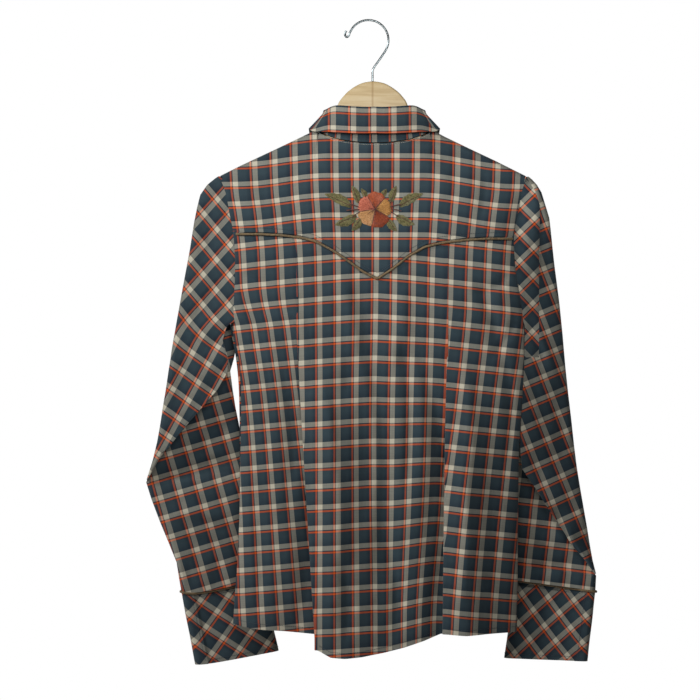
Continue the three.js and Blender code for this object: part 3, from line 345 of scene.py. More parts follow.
def backCheck(x, z, panel):
    row = {name: curved(panelBands, "z", name, z) for name in panelBands[0] if name != "z"}
    if z > -400:
        pitch = curved(yokePitch, "z", "pitch", z)
        free = smooth(z, -400, -340)
    else:
        pitch, free = 24.1, 0
    plain = (x - check["backX"]) / pitch
    if panel == "left":
        u = -8 + (x - row["leftX"]) / row["leftPitch"]
        down = 26.25
    elif panel == "middle":
        u = (x - row["midX"]) / (row["midLeft"] if x < row["midX"] else row["midRight"])
        down = mix(26.8, 25.6, smooth(x, 10, 95))
    else:
        u = 7 + (x - row["rightX"]) / row["rightPitch"]
        down = 26.6
    top = check["backZ"] - archDrop(x, check["archLeft"], check["archRight"])
    if z > top:
        down = 26.5
    return mix(u, plain, free), (top - z) / down


def yokeCheck(x, z):
    pitch = curved(yokePitch, "z", "pitch", z)
    aside = x - check["archX"]
    arch = smooth(abs(aside), 60, 175) * check["yokeArchLeft" if aside < 0 else "yokeArchRight"]
    return (x - check["yokeX"]) / pitch, (check["yokeZ"] - arch - z) / check["yokeDown"]


# cloth pieces: a grid is laid, shaped, given its check as a UV map and thickened

def selectOnly(obj):
    bpy.ops.object.select_all(action="DESELECT")
    obj.select_set(True)
    bpy.context.view_layer.objects.active = obj


def applyModifiers(obj):
    selectOnly(obj)
    for modifier in list(obj.modifiers):
        bpy.ops.object.modifier_apply(modifier=modifier.name)


def flatSize(points):  # longest row, longest column and the area of a grid, in metres
    def length(line):
        return sum(math.dist(a, b) for a, b in zip(line, line[1:]))
    area = 0
    for upper, lower in zip(points, points[1:]):
        for k in range(len(upper) - 1):
            a, b, c, d = (Vector(p) for p in (upper[k], upper[k + 1], lower[k + 1], lower[k]))
            area += (b - a).cross(c - a).length / 2 + (c - a).cross(d - a).length / 2
    wide = max(length(row) for row in points)
    high = max(length([row[k] for row in points]) for k in range(len(points[0])))
    return wide * mm, high * mm, area * mm * mm


def layCloth(name, points, checkAt, thick=0.9):
    rows, columns = len(points) - 1, len(points[0]) - 1
    bpy.ops.object.select_all(action="DESELECT")
    bpy.ops.mesh.primitive_grid_add(x_subdivisions=columns, y_subdivisions=rows, size=1)
    obj = bpy.context.active_object
    obj.name = name
    mesh = obj.data
    mesh.name = name
    cells = [(round((v.co.y + 0.5) * rows), round((v.co.x + 0.5) * columns)) for v in mesh.vertices]
    places = []
    for i, j in cells:
        places.extend(value * mm for value in points[i][j])
    mesh.vertices.foreach_set("co", places)
    uv = mesh.uv_layers.active
    uv.name = "check"
    for polygon in mesh.polygons:
        corners = [cells[mesh.loops[n].vertex_index] for n in polygon.loop_indices]
        cell = (min(c[0] for c in corners), min(c[1] for c in corners))
        for n, (i, j) in zip(polygon.loop_indices, corners):
            uv.data[n].uv = checkAt(points[i][j], i, j, cell)
    mesh.update()
    thicken = obj.modifiers.new("thickness", "SOLIDIFY")
    thicken.thickness = thick * mm
    thicken.offset = 0
    applyModifiers(obj)
    bpy.ops.object.shade_smooth_by_angle(angle=math.radians(60))
    obj["flat"] = flatSize(points)
    return obj


# back panel: the two long folds are laid over, the cloth doubling back under each lip

lipPath = table(  # across the fold: place from the lip, share of its rise
    "x rise",
    (-3.5, 0), (0.5, 0.02), (3.6, 0.1), (4.6, 0.28), (3.0, 0.45), (0.4, 0.5), (-1.6, 0.66),
    (-1.2, 0.92), (1.5, 1.0))


def backPanel():
    rows = 128
    leftCells, middleCells, rightCells = 24, 46, 26
    trim = 0.992           # the side rows stop just short of the side seams
    foldedShare = 0.4      # share of a repeat that is hidden in a fold

    def lineUp(z):  # places across at a height, with the name of the part each belongs to
        left, right = leftEdge(z), rightEdge(z)
        middle, half = (left + right) / 2, (right - left) / 2
        end = math.sin(math.pi / 2 * trim)
        places = []
        first, second = (foldLip(fold, z) for fold in backFolds)
        for k in range(leftCells, 0, -1):
            share = math.sin(math.pi / 2 * k * trim / leftCells) / end
            places.append((mix(first - 3.5, middle - half * end, share), None, -1))
        for step in lipPath:
            places.append((first, step, 0))
        for k in range(1, middleCells):
            places.append((mix(first + 1.5, second - 3.5, k / middleCells), None, -1))
        for step in lipPath:
            places.append((second, step, 1))
        for k in range(1, rightCells + 1):
            share = math.sin(math.pi / 2 * k * trim / rightCells) / end
            places.append((mix(second + 1.5, middle + half * end, share), None, -1))
        return places

    columns = len(lineUp(-600))
    points = []
    for i in range(rows + 1):
        row = []
        for j in range(columns):
            z = -600
            for turn in range(5):
                x, step, fold = lineUp(z)[j]
                under = step and step["rise"] <= 0.45
                low = hemZ(x + (-4 if under else 2.5)) if step else hemZ(x)
                z = mix(low, yokeZ(x) + 2.0, i / rows)
            if step:
                lip = backFolds[fold]
                grown = smooth(lip["topZ"] - z, -20, 120)
                wide = x + step["x"] * mix(1 if step["rise"] in (0, 1.0) else 0.25, 1, grown)
                low = backPoint(x - 3.5, z)[1]
                high = backPoint(x + 3.0, z)[1]
                row.append((wide, mix(low, high, step["rise"]), z))
            else:
                row.append(backPoint(x, z))
        points.append(row)
    lipStarts = (leftCells, leftCells + len(lipPath) + middleCells - 1)
    count = len(lipPath) - 1

    def checkAt(p, i, j, cell):
        panel = "left"
        for start, following in zip(lipStarts, ("middle", "right")):
            if cell[1] < start:
                break
            if cell[1] < start + count:  # inside the fold: a little of the check runs in from each side
                part = (j - start) / count
                if part > 0.5:
                    u, v = backCheck(points[i][start + count][0], points[i][start + count][2], following)
                    return u - (1 - part) * foldedShare, v
                u, v = backCheck(points[i][start][0], points[i][start][2], panel)
                return u + part * foldedShare, v
            panel = following
        return backCheck(p[0], p[2], panel)

    return layCloth("back_cloth", points, checkAt)


backCloth = backPanel()
print("back panel laid")


# neck line: 0 at the back centre, 90 at the ridge, 180 at the front centre

def neckEdge(angle):
    turn = math.radians(angle)
    x = neck["x"] + neck["half"] * math.sin(turn)
    facing = math.cos(turn)
    if facing >= 0:
        z = mix(neck["sideZ"], neck["backZ"], facing ** 1.3)
        pull = min(1, (1 - facing) * 4 + 0.8)
        return (x, -wallDepth(x, z) * pull, z)
    z = mix(neck["sideZ"], neck["frontZ"], (-facing) ** 1.1)
    return (x, wallDepth(x, z), z)


def frontNeckAt(x):
    sine = clamp((x - neck["x"]) / neck["half"], -1, 1)
    return mix(neck["sideZ"], neck["frontZ"], math.sqrt(1 - sine * sine) ** 1.1)


def overRidge(x, reach, lap, creases):  # reach: length of cloth from the ridge, back negative
    bend = body["bend"]
    quarter = math.pi / 2 * bend
    length = abs(reach)
    drop = bend * (1 - math.cos(length / bend)) if length < quarter else bend + length - quarter
    z = ridge(x) - drop
    out = lap * smooth(1 - abs(across(x, z)), 0.02, 0.12)
    return backPoint(x, z, out, creases) if reach < 0 else frontPoint(x, z, out)


def reachTo(x, z):
    bend = body["bend"]
    drop = max(0, ridge(x) - z)
    return bend * math.acos(1 - drop / bend) if drop < bend else drop - bend + math.pi / 2 * bend


def yoke():
    cells = {"shoulder": 24, "neckFront": 8, "neckBack": 22}
    lowRows, highRows = 30, 16
    lap, seam, seamEndZ, trim = 2.1, 0.3, -276, 0.008
    inner = neckEdge(neck["seamAngle"])[0] - neck["x"]
    half = [("seam", k / cells["shoulder"]) for k in range(cells["shoulder"])]
    half += [("neck", mix(neck["seamAngle"], 92, k / cells["neckFront"])) for k in range(cells["neckFront"])]
    half += [("neck", mix(88, 0, k / cells["neckBack"])) for k in range(cells["neckBack"] + 1)]
    ends = [(kind, value, -1) for kind, value in half]
    ends += [(kind, value, 1) for kind, value in half[-2::-1]]
    total = len(ends)
    points = [[] for i in range(lowRows + highRows + 1)]
    for j, (kind, value, side) in enumerate(ends):
        if kind == "neck":
            p = neckEdge(value * side)
            topX = p[0]
            topReach = (-1 if value < 90 else 1) * reachTo(p[0], p[2])
        else:
            innerX = neck["x"] + side * inner
            z = ridge(innerX) - neck["seamDrop"]
            outerX = leftEdge(z - 25) if side < 0 else rightEdge(z - 25)
            topX = mix(outerX, innerX, math.sin(math.pi / 2 * value) * 0.35 + value * 0.65 + trim)
            topReach = reachTo(topX, ridge(topX) - neck["seamDrop"])
        share = 2 * j / (total - 1) - 1
        spread = math.sin(math.pi / 2 * share * (1 - trim)) * 0.5 + share * 0.5
        lowX = mix(leftEdge(seamEndZ), rightEdge(seamEndZ), (spread * (1 - trim / 8) + 1) / 2)
        lowReach = -reachTo(lowX, yokeZ(lowX) + seam)
        crest = clamp(-lowReach / (topReach - lowReach), 0, 0.8)
        for i in range(lowRows + highRows + 1):
            if i <= lowRows:
                part = crest * math.sin(math.pi / 2 * i / lowRows) ** 0.9
            else:
                part = crest + (1 - crest) * ((i - lowRows) / highRows) ** 1.25
            reach = mix(lowReach, topReach, part)
            x = mix(lowX, topX, part)
            if j in (0, total - 1):
                z = ridge(x) - max(0, abs(reach) - (math.pi / 2 - 1) * body["bend"])
                x = leftEdge(z) + 0.4 if j == 0 else rightEdge(z) - 0.4
            backLap = 1 - smooth(i / lowRows, 0, 0.55)
            frontLap = smooth(i, lowRows + 1, lowRows + highRows) if kind == "seam" else 0
            points[i].append(overRidge(x, reach, lap * max(backLap, frontLap), yokeCreases))

    def checkAt(p, i, j, cell):
        z = p[2]
        if p[1] > 0:  # past the ridge the cloth runs on down the front
            z = 2 * ridge(p[0]) + 2 * body["bend"] - z
        return yokeCheck(p[0], z)

    return layCloth("yoke_cloth", points, checkAt)


yokeCloth = yoke()
print("yoke laid")


# fronts and snap band

front = {"placketHalf": 16.0, "placketStep": 2.6, "placketRise": 4.2, "seamGap": 1.0,
         "hemRise": 4.0, "stepFrom": -68.0, "stepTo": -38.0, "stepHeight": 24.0}


def middleX(z):  # the front's middle line
    return mix(neck["x"], 6, smooth(neck["frontZ"] - z, 0, 500))


def frontHem(x):  # a little above the back's hem, and without its step
    low, high = front["stepFrom"], front["stepTo"]
    step = front["stepHeight"] * (1 - smooth(x, low - 1, high)) if low < x < high else 0
    return hemZ(x) + front["hemRise"] + step


def frontCheck(x, z):
    return (x - check["frontX"]) / check["frontPitch"], (check["frontZ"] - z) / check["frontDown"]


def seamZ(x):  # the yoke's front seam
    return ridge(x) - neck["seamDrop"] - front["seamGap"]


def frontPanel(name, side):
    rows, sideCells, neckCells = 110, 30, 16
    edge = leftEdge if side < 0 else rightEdge
    columns = sideCells + neckCells
    inner = neckEdge(neck["seamAngle"])[0] - neck["x"]
    points = [[] for i in range(rows + 1)]
    for j in range(columns + 1):
        if j <= sideCells:
            part = math.sin(math.pi / 2 * j / sideCells)
            innerX = neck["x"] + side * inner
            topX = mix(edge(seamZ(innerX) - 25), innerX, part)
            topZ = seamZ(topX)
        else:
            part = (j - sideCells) / neckCells
            p = neckEdge(side * mix(119.2, 180, part))
            topX = p[0] - side * front["placketHalf"] * smooth(part, 0.5, 1)
            topZ = frontNeckAt(topX)
        lowU = 1 - math.sin(math.pi / 2 * j / columns) * 0.4 - (j / columns) * 0.6
        for i in range(rows + 1):
            part = i / rows
            x, z = (-150 if side < 0 else 150), -500
            for turn in range(5):
                z = mix(frontHem(x), topZ, part)
                edgeX = edge(z)
                centreX = middleX(z) - side * front["placketHalf"]
                lowX = mix(centreX, edgeX, math.sin(math.pi / 2 * lowU * 0.992))
                x = mix(lowX, topX, part ** 3)
                if j == 0:
                    x = edgeX - side * 0.02
            lap = front["placketStep"] * (1 - smooth(x, neck["x"] + 20, neck["x"] + 52)) if side > 0 else 0
            points[i].append(frontPoint(x, z, lap))
    return layCloth(name, points, lambda p, i, j, cell: frontCheck(p[0], p[2]))


frontLeft = frontPanel("front_cloth_left", -1)
frontRight = frontPanel("front_cloth_right", 1)


def snapBand():
    rows, columns = 110, 8
    points = []
    for i in range(rows + 1):
        row = []
        for j in range(columns + 1):
            x, z = 0, -500
            for turn in range(4):
                x = middleX(z) + front["placketHalf"] * (2 * j / columns - 1) * 0.97
                z = mix(hemZ(x) + 5, neck["frontZ"] - 3, i / rows)
            row.append(frontPoint(x, z, front["placketRise"]))
        points.append(row)
    return layCloth("placket_cloth", points, lambda p, i, j, cell: frontCheck(p[0] + 5, p[2]))


placketCloth = snapBand()
print("fronts laid")


# collar: stand and leaf in one ring of angles from the back centre

collarRows = table(
    "angle rise lean drop spread",
    (0, 44, 2, 31, 13), (45, 40, 6, 31, 16), (72, 29, 9, 25.5, 21), (90, 24, 9, 20.5, 22),
    (118, 26, 8, 29, 19), (150, 28, 6, 74, 14), (174, 28, 5, 46, 12), (190, 28, 5, 46, 12))
collar = {"perDegree": 1.26, "standHeight": 40, "standCheck": 0.42,
          "leafX": 7.0, "leafFall": 29.0, "leafDown": 24.0}              # and on the leaf


def neckOut(angle):
    turn = math.radians(angle)
    out = Vector((math.sin(turn), -math.cos(turn) * 0.9, 0))
    return out.normalized()


def standTop(angle):
    rise = curved(collarRows, "angle", "rise", abs(angle))
    lean = curved(collarRows, "angle", "lean", abs(angle))
    return Vector(neckEdge(angle)) - lean * neckOut(angle) + Vector((0, 0, rise))


def collarStand():
    rows, limit, step = 10, 188, 4
    points = []
    count = round(2 * limit / step)
    for i in range(rows + 1):
        row = []
        for k in range(count + 1):
            angle = -limit + step * k
            lap = 1.3 * smooth(angle, 150, 188) - 1.3 * smooth(-angle, 150, 188)
            out = neckOut(angle)
            low = Vector(neckEdge(angle)) - 2 * abs(math.sin(math.radians(angle))) * out
            low.z += 1.6
            place = low.lerp(standTop(angle), i / rows) + lap * out
            row.append(tuple(place))
        points.append(row)

    def checkAt(p, i, j, cell):
        around = (j * step - limit) * collar["perDegree"]
        up = collar["standHeight"] * i / rows
        return around / check["collarPitch"], collar["standCheck"] + up / check["repeat"]

    return layCloth("stand_cloth", points, checkAt)


def collarLeaf():
    limit, step = 172, 4
    count = round(2 * limit / step)
    steps = 5          # finer steps between the shaping points of the roll and fall
    columns = []
    for k in range(count + 1):
        angle = -limit + step * k
        drop = curved(collarRows, "angle", "drop", abs(angle))
        spread = curved(collarRows, "angle", "spread", abs(angle))
        out, top = neckOut(angle), standTop(angle)
        shape = []
        roll = 4.3          # the leaf rolls over the stand, then falls
        for away, rise in ((-0.3, 3.0), (1.2, 3.7), (3, 2.7), (roll, -1.2),
                           (mix(roll, spread, 0.3), -drop * 0.36),
                           (mix(roll, spread, 0.65), -drop * 0.68), (spread, -drop)):
            p = top + away * out + Vector((0, 0, rise))
            if p.y > 0 and abs(angle) > 100:
                p.y = max(p.y, wallDepth(p.x, p.z) + front["placketStep"] + 5)
            shape.append(p)
        columns.append(through(shape, steps))
    points = [list(row) for row in zip(*columns)]

    def checkAt(p, i, j, cell):
        angle = -limit + step * j
        fall = abs(p[2] - points[steps][j][2]) if i > steps else (i - steps) * 1.2
        around = 75 + (abs(angle) - 70) * 1.3
        across = p[0] if abs(angle) < 70 else math.copysign(around, angle) + neck["x"]
        u = (across - collar["leafX"]) / check["collarPitch"]
        return u, (fall - collar["leafFall"]) / collar["leafDown"]

    return layCloth("leaf_cloth", points, checkAt)


standCloth = collarStand()
leafCloth = collarLeaf()
print("collar laid")


# cuffs: size, turn and place of the outer corner; bow and lowBow are the sag past the outer edge,
# taper the share that the inner side is taller; checkWide and checkLong draw the check up about its middle
cuffs = {
    "left": {"x": -243.6, "z": -741.8, "width": 107, "height": 97.5, "turn": 11.5, "y": 23,
             "bow": 8.5, "lowBow": 3, "taper": 0.03,
             "checkU": 0.81, "checkV": 0.254, "checkWide": 1.0, "checkLong": 1.0},
    "right": {"x": 296.1, "z": -741.8, "width": 104, "height": 92, "turn": -7.2, "y": 22,
              "bow": 0, "lowBow": 0, "taper": 0.12,
              "checkU": -0.114, "checkV": 0.188, "checkWide": 1.09, "checkLong": 1.045},
}
cuffMiddle = {"length": 50, "down": 53}
cuffDepth, cuffLean, bowRun = 12, 9, 14
cuffLap, cuffLapRise, cordRadius, liftOff = 10, 2.1, 1.5, 0.9


def bowDrop(cuff, distance, share=0):  # sag of a sleeve's end and cuff away from the outer edge
    return mix(cuff["bow"], cuff["lowBow"], share) * (1 - math.exp(-max(0, distance) / bowRun))


# sleeves: pressed flat and folded in behind along their outer edge

sleeveNames = "z near crease far skin loft sink tilt"
leftSleeveRows = table(
    sleeveNames,
    (-202.2, -191.4, -194.8, -193.6, -4, 2.2, 0, 0), (-205, -194, -199, -197, -5, 3.2, 0, 0),
    (-213, -190.5, -209, -203, -6.5, 4.4, 0, 0),
    (-226, -186.5, -218, -210, -8, 5.6, 0, 0), (-242, -183, -222, -209, -9, 6, 0, 0),
    (-262, -180.5, -226, -208, -9, 6, 0, 0), (-297, -175.5, -231.5, -204, -9, 6.2, 0, 0),
    (-345, -175.5, -240.5, -192, -9, 6.6, 0, 0), (-386, -179, -248, -182, -8, 6.8, 2, 0),
    (-400, -187, -250.5, -178.5, -7.5, 6.8, 3, 0), (-414, -191, -253, -175.5, -7, 6.6, 4, 0),
    (-428, -188, -255.4, -173.5, -6.6, 6.5, 4.6, 0), (-440, -184.5, -257, -176, -6.4, 6.4, 5, 0),
    (-455, -184.5, -259.5, -180.5, -6, 6.2, 6, 0),
    (-479, -198, -263, -177.5, -5, 6, 8, 0), (-502, -218, -267, -174, -4, 6, 10, 0),
    (-525, -238, -270.5, -169.5, -3, 6, 12, 0), (-547, -256, -274.5, -165.5, -2, 6, 13, 1),
    (-570, -272.5, -280, -161, -1, 6, 14, 2), (-600, -289, -289, -156, -6, 8, 14, 4),
    (-622, -282, -282, -152, -9, 9, 15, 6), (-650, -271.5, -271.5, -147, -8, 8.6, 17, 8),
    (-678, -260, -260, -142.5, -5, 7.6, 16.5, 10), (-704, -249.5, -249.5, -138.5, -3, 6.8, 16.5, 11),
    (-726, -246, -246, -136, -2, 6.4, 17, 11.5), (-741, -243.5, -243.5, -134.5, 0, 6, 16, 11.5))
rightSleeveRows = table(
    sleeveNames,
    (-202.6, 204.4, 208.2, 207, -4, 2.2, 0, 0), (-206, 207, 212.5, 210.5, -5, 3.2, 0, 0),
    (-213, 204, 219, 216, -6.5, 4.4, 0, 0),
    (-223, 201, 225, 217, -8, 5.6, 0, 0), (-256, 195.5, 235, 216, -9, 6, 0, 0),
    (-292, 191.5, 240, 213, -9, 6.2, 0, 0), (-326, 193.5, 245, 210, -9, 6.6, 0, 0),
    (-364, 200.5, 250, 206.5, -8.5, 6.8, 0, 0), (-388, 203.2, 252.5, 198, -8, 6.8, 3, 0),
    (-407, 203.4, 254.5, 193, -7.5, 6.6, 6, 0), (-450, 202.6, 258.5, 190, -6, 6.2, 9.5, 0),
    (-485, 200.8, 262.5, 188, -5, 6, 11.5, 0), (-520, 198.8, 267, 187, -4, 6, 13, 0),
    (-555, 197.4, 271, 186, -4, 6, 14, 0), (-582, 200, 274.5, 185, -3.5, 6, 14, 0),
    (-607, 217.5, 278, 184, -3, 6, 14, 0), (-636, 235.5, 282.5, 183, -3, 6, 14, -1),
    (-661, 252, 286.5, 182.5, -2, 6, 14, -2), (-682, 264, 289.5, 181, -1, 6, 13.5, -4),
    (-702, 282, 292.5, 180, 0, 6, 13, -6), (-722, 297, 297, 178.5, -3, 7.6, 9, -7),
    (-741, 296, 296, 177.5, -1, 6.4, 11, -7))
sleeve = {"layer": 16, "outerTurn": 10, "farTurn": 8, "innerTurn": 6,      # cells across each part
          "armholeDepth": 8.5, "gap": -0.6, "lean": 0.5, "creaseGain": 3.2}
rightPleat = {"x": 222, "topZ": -205, "endZ": -400, "rise": 4.5, "fade": 16, "checkZ": -436}


def sleeveSection(row):  # as cut in the part: upper layers, outer turn, in behind and back again
    out = math.copysign(1, row["crease"] - row["far"])
    layer, outerTurn = sleeve["layer"], sleeve["outerTurn"]
    farTurn, innerTurn = sleeve["farTurn"], sleeve["innerTurn"]
    free = armholeShare(row["z"])
    ease = out * sleeve["gap"]
    armhole = (leftEdge(row["z"]) if out < 0 else rightEdge(row["z"])) + ease
    near = armhole if free > 0 else row["near"]
    upper = abs(row["crease"] - near)
    loft = row["loft"]
    y1, y2, y3, y4 = (row["skin"] + n * loft for n in range(4))
    middle = (y1 + y2) / 2
    points = []
    cap = upper < 1
    bulge = 6 if cap else min(6, 1.5 * loft, 0.5 * upper)
    turnX = row["crease"] - out * bulge
    farBulge = 0.5 * loft
    farX = row["far"] + out * farBulge
    if cap:
        count, half = layer + outerTurn, (y4 - y2) / 2
        for k in range(count):
            a = mix(-0.04, math.pi / 2, k / count)
            points.append((turnX + out * bulge * math.cos(a), y2 + half + half * math.sin(a)))
    else:
        deep = sleeve["armholeDepth"] * free
        start = -deep - 0.9 * (1 - free) + middle * (1 - free) if free > 0 else middle - 0.95
        plainX = (near + turnX) / 2
        halfX = mix(plainX, rightPleat["x"], smooth(row["z"], -560, -470)) if out > 0 else plainX
        halfX = clamp(halfX, near + 2, turnX - 2) if upper > 12 else plainX
        for k in range(layer):
            part = k / layer
            x = mix(near, halfX, 2 * part) if part < 0.5 else mix(halfX, turnX, 2 * part - 1)
            points.append((x, mix(start, y1, smooth(part, 0, 0.45))))
        for k in range(outerTurn):
            a = mix(-math.pi / 2, math.pi / 2, k / outerTurn)
            points.append((turnX + out * bulge * math.cos(a), (y1 + y4) / 2 + 1.5 * loft * math.sin(a)))
    for k in range(layer):
        part = k / layer
        points.append((mix(turnX, farX, part), y4 + row["sink"] * part))
    farLow = y2 if cap else y3
    farMid, farHalf = (farLow + y4) / 2, (y4 - farLow) / 2
    for k in range(farTurn):
        a = mix(math.pi / 2, -math.pi / 2, k / farTurn)
        points.append((farX - out * farBulge * math.cos(a), farMid + farHalf * math.sin(a) + row["sink"]))
    innerBulge = min(bulge * 0.55, loft / 2)
    innerX = turnX if cap else turnX - out * 0.5
    for k in range(layer):
        part = k / layer
        points.append((mix(farX, innerX, part), farLow + row["sink"] * (1 - part)))
    if cap:
        count, half = innerTurn + layer, (y4 - y2) / 2
        for k in range(count + 1):
            a = mix(-math.pi / 2, -0.32, k / count)
            points.append((turnX + out * bulge * math.cos(a), y2 + half + half * math.sin(a)))
    else:
        for k in range(innerTurn):
            a = mix(math.pi / 2, -math.pi / 2, k / innerTurn)
            points.append((innerX + out * innerBulge * math.cos(a), (y2 + y3) / 2 + loft / 2 * math.sin(a)))
        deep = sleeve["armholeDepth"] * free
        end = deep + 0.9 * (1 - free) + middle * (1 - free) if free > 0 else middle + 0.95
        for k in range(layer + 1):
            part = k / layer
            points.append((mix(innerX, near, part), mix(y2, end, smooth(part, 0.55, 1))))
    return points


# creases of the sleeves as seen from the back, and the grain of the upper and lower part
leftSleeveCreases = table(
    "x0 z0 x1 z1 width depth",
    (-184, -395, -214, -432, 5, 1.8), (-182, -412, -222, -470, 6, -1.5), (-190, -450, -236, -520, 6, 1.6),
    (-200, -340, -232, -400, 8, 1.5), (-206, -262, -216, -330, 8, 1.2), (-238, -420, -256, -520, 8, 1.3),
    (-268, -600, -160, -575, 9, 1.7), (-260, -640, -150, -655, 9, -1.5), (-246, -672, -150, -700, 7, 1.5),
    (-222, -560, -180, -520, 8, 1.6), (-236, -700, -230, -738, 6, 1.3), (-200, -690, -196, -730, 6, 1.3),
    (-166, -680, -162, -722, 5, 1.2))
rightSleeveCreases = table(
    "x0 z0 x1 z1 width depth",
    (206, -386, 226, -452, 6, 1.7), (212, -400, 246, -470, 7, -1.5), (228, -260, 236, -340, 8, 1.3),
    (206, -460, 232, -540, 8, 1.6), (240, -480, 252, -580, 8, 1.2), (214, -560, 226, -600, 7, 1.4),
    (272, -640, 190, -622, 9, 1.6), (276, -670, 190, -668, 9, -1.4), (280, -700, 190, -706, 7, 1.3),
    (262, -700, 258, -738, 6, 1.2), (226, -704, 224, -740, 6, 1.2), (196, -700, 196, -738, 5, 1.2))
grain = {  # of the upper part, of the part inside the pleat and of the lower part: origin and turn
    "left": {"upper": (-214.8, -407.9, -32), "cap": -46, "capLow": -440, "capHigh": -370,
             "lower": (-201.8, -573, 16), "wide": 1.08, "long": 0.94},
    "right": {"upper": (244.1, -427.4, 22), "pleat": (214.2, -330, 44), "lower": (213.7, -677.7, -6.5),
              "wide": 1, "long": 1},
}


def turned(x, z, degrees):
    a = math.radians(degrees)
    return x * math.cos(a) + z * math.sin(a), -x * math.sin(a) + z * math.cos(a)


def sleeveCloth(name, side, rows, creases, lay):
    step = 4.2
    heights = []
    for a, b in zip(rows, rows[1:]):
        count = max(1, round((a["z"] - b["z"]) / step))
        heights += [mix(a["z"], b["z"], k / count) for k in range(count)]
    heights.append(rows[-1]["z"])
    rising = rows[::-1]
    upperEnd = sleeve["layer"] + sleeve["outerTurn"]
    farStart = upperEnd + sleeve["layer"]
    farEnd = farStart + sleeve["farTurn"]
    points, kept = [], []
    for z in heights:
        row = {"z": z}
        for key in sleeveNames.split()[1:]:
            row[key] = straight(rising, "z", key, z)
        slope = math.tan(math.radians(row["tilt"]))
        sag = smooth(-z, 660, 735)
        line = []
        for n, (x, y) in enumerate(sleeveSection(row)):
            level = z + slope * (x - row["crease"])
            ends = smooth(abs(x - row["crease"]), 2, 14) * smooth(abs(x - row["near"]), 0, 8)
            dent = sleeve["creaseGain"] * creaseDepth(creases, x, level) + ripple(x, level)
            if n < upperEnd or n >= farStart:
                y += ends * dent
            else:
                y -= ends * ripple(x + 60, level) * 1.5
            if side == "right":
                if y < row["skin"] + 0.5 * row["loft"]:
                    grown = smooth(rightPleat["topZ"] - z, 0, 50)
                    grown *= 1 - smooth(rightPleat["endZ"] + 100 - z, 0, 90)
                    inside = smooth(rightPleat["x"] - x, -4, 4)
                    inside *= smooth(x - row["near"], 0, rightPleat["fade"])
                    y -= rightPleat["rise"] * grown * inside
                leaning = smooth(-z, 250, 330) * smooth(740 + z, 0, 60)
                y += sleeve["lean"] * max(0, x - row["near"]) * leaning
            drop = sag * bowDrop(cuffs[side], abs(x - row["crease"]))
            line.append((x, y, level - drop))
        points.append(line)
        kept.append(row)
    pleatEnd = sum(1 for row in kept if row["z"] > rightPleat["checkZ"])

    def checkAt(p, i, j, cell):
        x, z = p[0], p[2]
        row = kept[i]
        n = cell[1]
        upper = abs(row["crease"] - row["near"]) >= 1 and n < upperEnd
        part = "upper" if upper else "lower"
        if part == "upper" and "pleat" in lay and n < sleeve["layer"] / 2 and cell[0] < pleatEnd:
            part = "pleat"
        fromX, fromZ, turn = lay[part]
        if part == "upper" and "cap" in lay:
            turn = mix(turn, lay["cap"], smooth(z, lay["capLow"], lay["capHigh"]))
            u, v = turned((x - fromX) * lay["wide"], (z - fromZ) * lay["long"], turn)
        else:
            u, v = turned(x - fromX, z - fromZ, turn)
        return u / check["repeat"], -v / check["repeat"]

    return layCloth(name, points, checkAt)


sleeveLeft = sleeveCloth("sleeve_cloth_left", "left", leftSleeveRows, leftSleeveCreases, grain["left"])
sleeveRight = sleeveCloth("sleeve_cloth_right", "right", rightSleeveRows, rightSleeveCreases, grain["right"])
print("sleeves laid")


# cuffs: bands cut on the bias whose ends lap by the outer edge

def aroundCuff(cuff):
    return 2 * (cuff["width"] - cuffDepth) + math.pi * cuffDepth


def cuffPlace(cuff, out, length, lift, down):  # a place round the cuff, lifted off it
    r0 = cuffDepth / 2
    run = cuff["width"] - 2 * r0
    around = aroundCuff(cuff)
    quarter = math.pi * r0
    s = length % around
    r = r0 + lift
    if s < run:
        wide, deep = s + r0, -r
    elif s < run + quarter:
        a = (s - run) / r0 - math.pi / 2
        wide, deep = cuff["width"] - r0 + r * math.cos(a), r * math.sin(a)
    elif s < 2 * run + quarter:
        wide, deep = cuff["width"] - r0 - (s - run - quarter), r
    else:
        a = (s - 2 * run - quarter) / r0 + math.pi / 2
        wide, deep = r0 + r * math.cos(a), r * math.sin(a)
    turn, lean = math.radians(cuff["turn"]), math.radians(cuffLean)
    long = down * (1 + cuff["taper"] * wide / cuff["width"])
    x = cuff["x"] - out * wide * math.cos(turn) + math.sin(turn) * long
    z = cuff["z"] + abs(math.sin(turn)) * wide - math.cos(turn) * long
    z -= bowDrop(cuff, wide * math.cos(turn), down / cuff["height"])
    y = cuff["y"] - 8 + deep + wide * math.tan(lean)
    return (x, y, z)


def cuffCloth(name, cuff, out):
    rows, cells = 24, 110
    around = aroundCuff(cuff)
    total = around + cuffLap
    points = []
    for i in range(rows + 1):
        row = []
        down = cuff["height"] * i / rows
        for j in range(cells + 1):
            length = total * j / cells
            lift = cuffLapRise * smooth(length, around - cuffLap, around - 1) + 1.2 * i / rows
            soft = 0.35 * math.sin(length * 0.11 + down * 0.05) * math.sin(down * 0.06 + 0.4)
            row.append(cuffPlace(cuff, out, length, lift + soft, down))
        points.append(row)

    def checkAt(p, i, j, cell):
        length, down = total * j / cells, cuff["height"] * i / rows
        if total * (cell[1] + 0.5) / cells > around - cuffDepth:  # the lap's check meets the one under it
            length -= around
        length = mix(cuffMiddle["length"], length, cuff["checkWide"])
        down = mix(cuffMiddle["down"], down, cuff["checkLong"])
        u, v = turned(length, -down, 45)
        return u / check["repeat"] + cuff["checkU"], -v / check["repeat"] + cuff["checkV"]

    return layCloth(name, points, checkAt)


cuffLeft = cuffCloth("cuff_cloth_left", cuffs["left"], -1)
cuffRight = cuffCloth("cuff_cloth_right", cuffs["right"], 1)
print("cuffs laid")


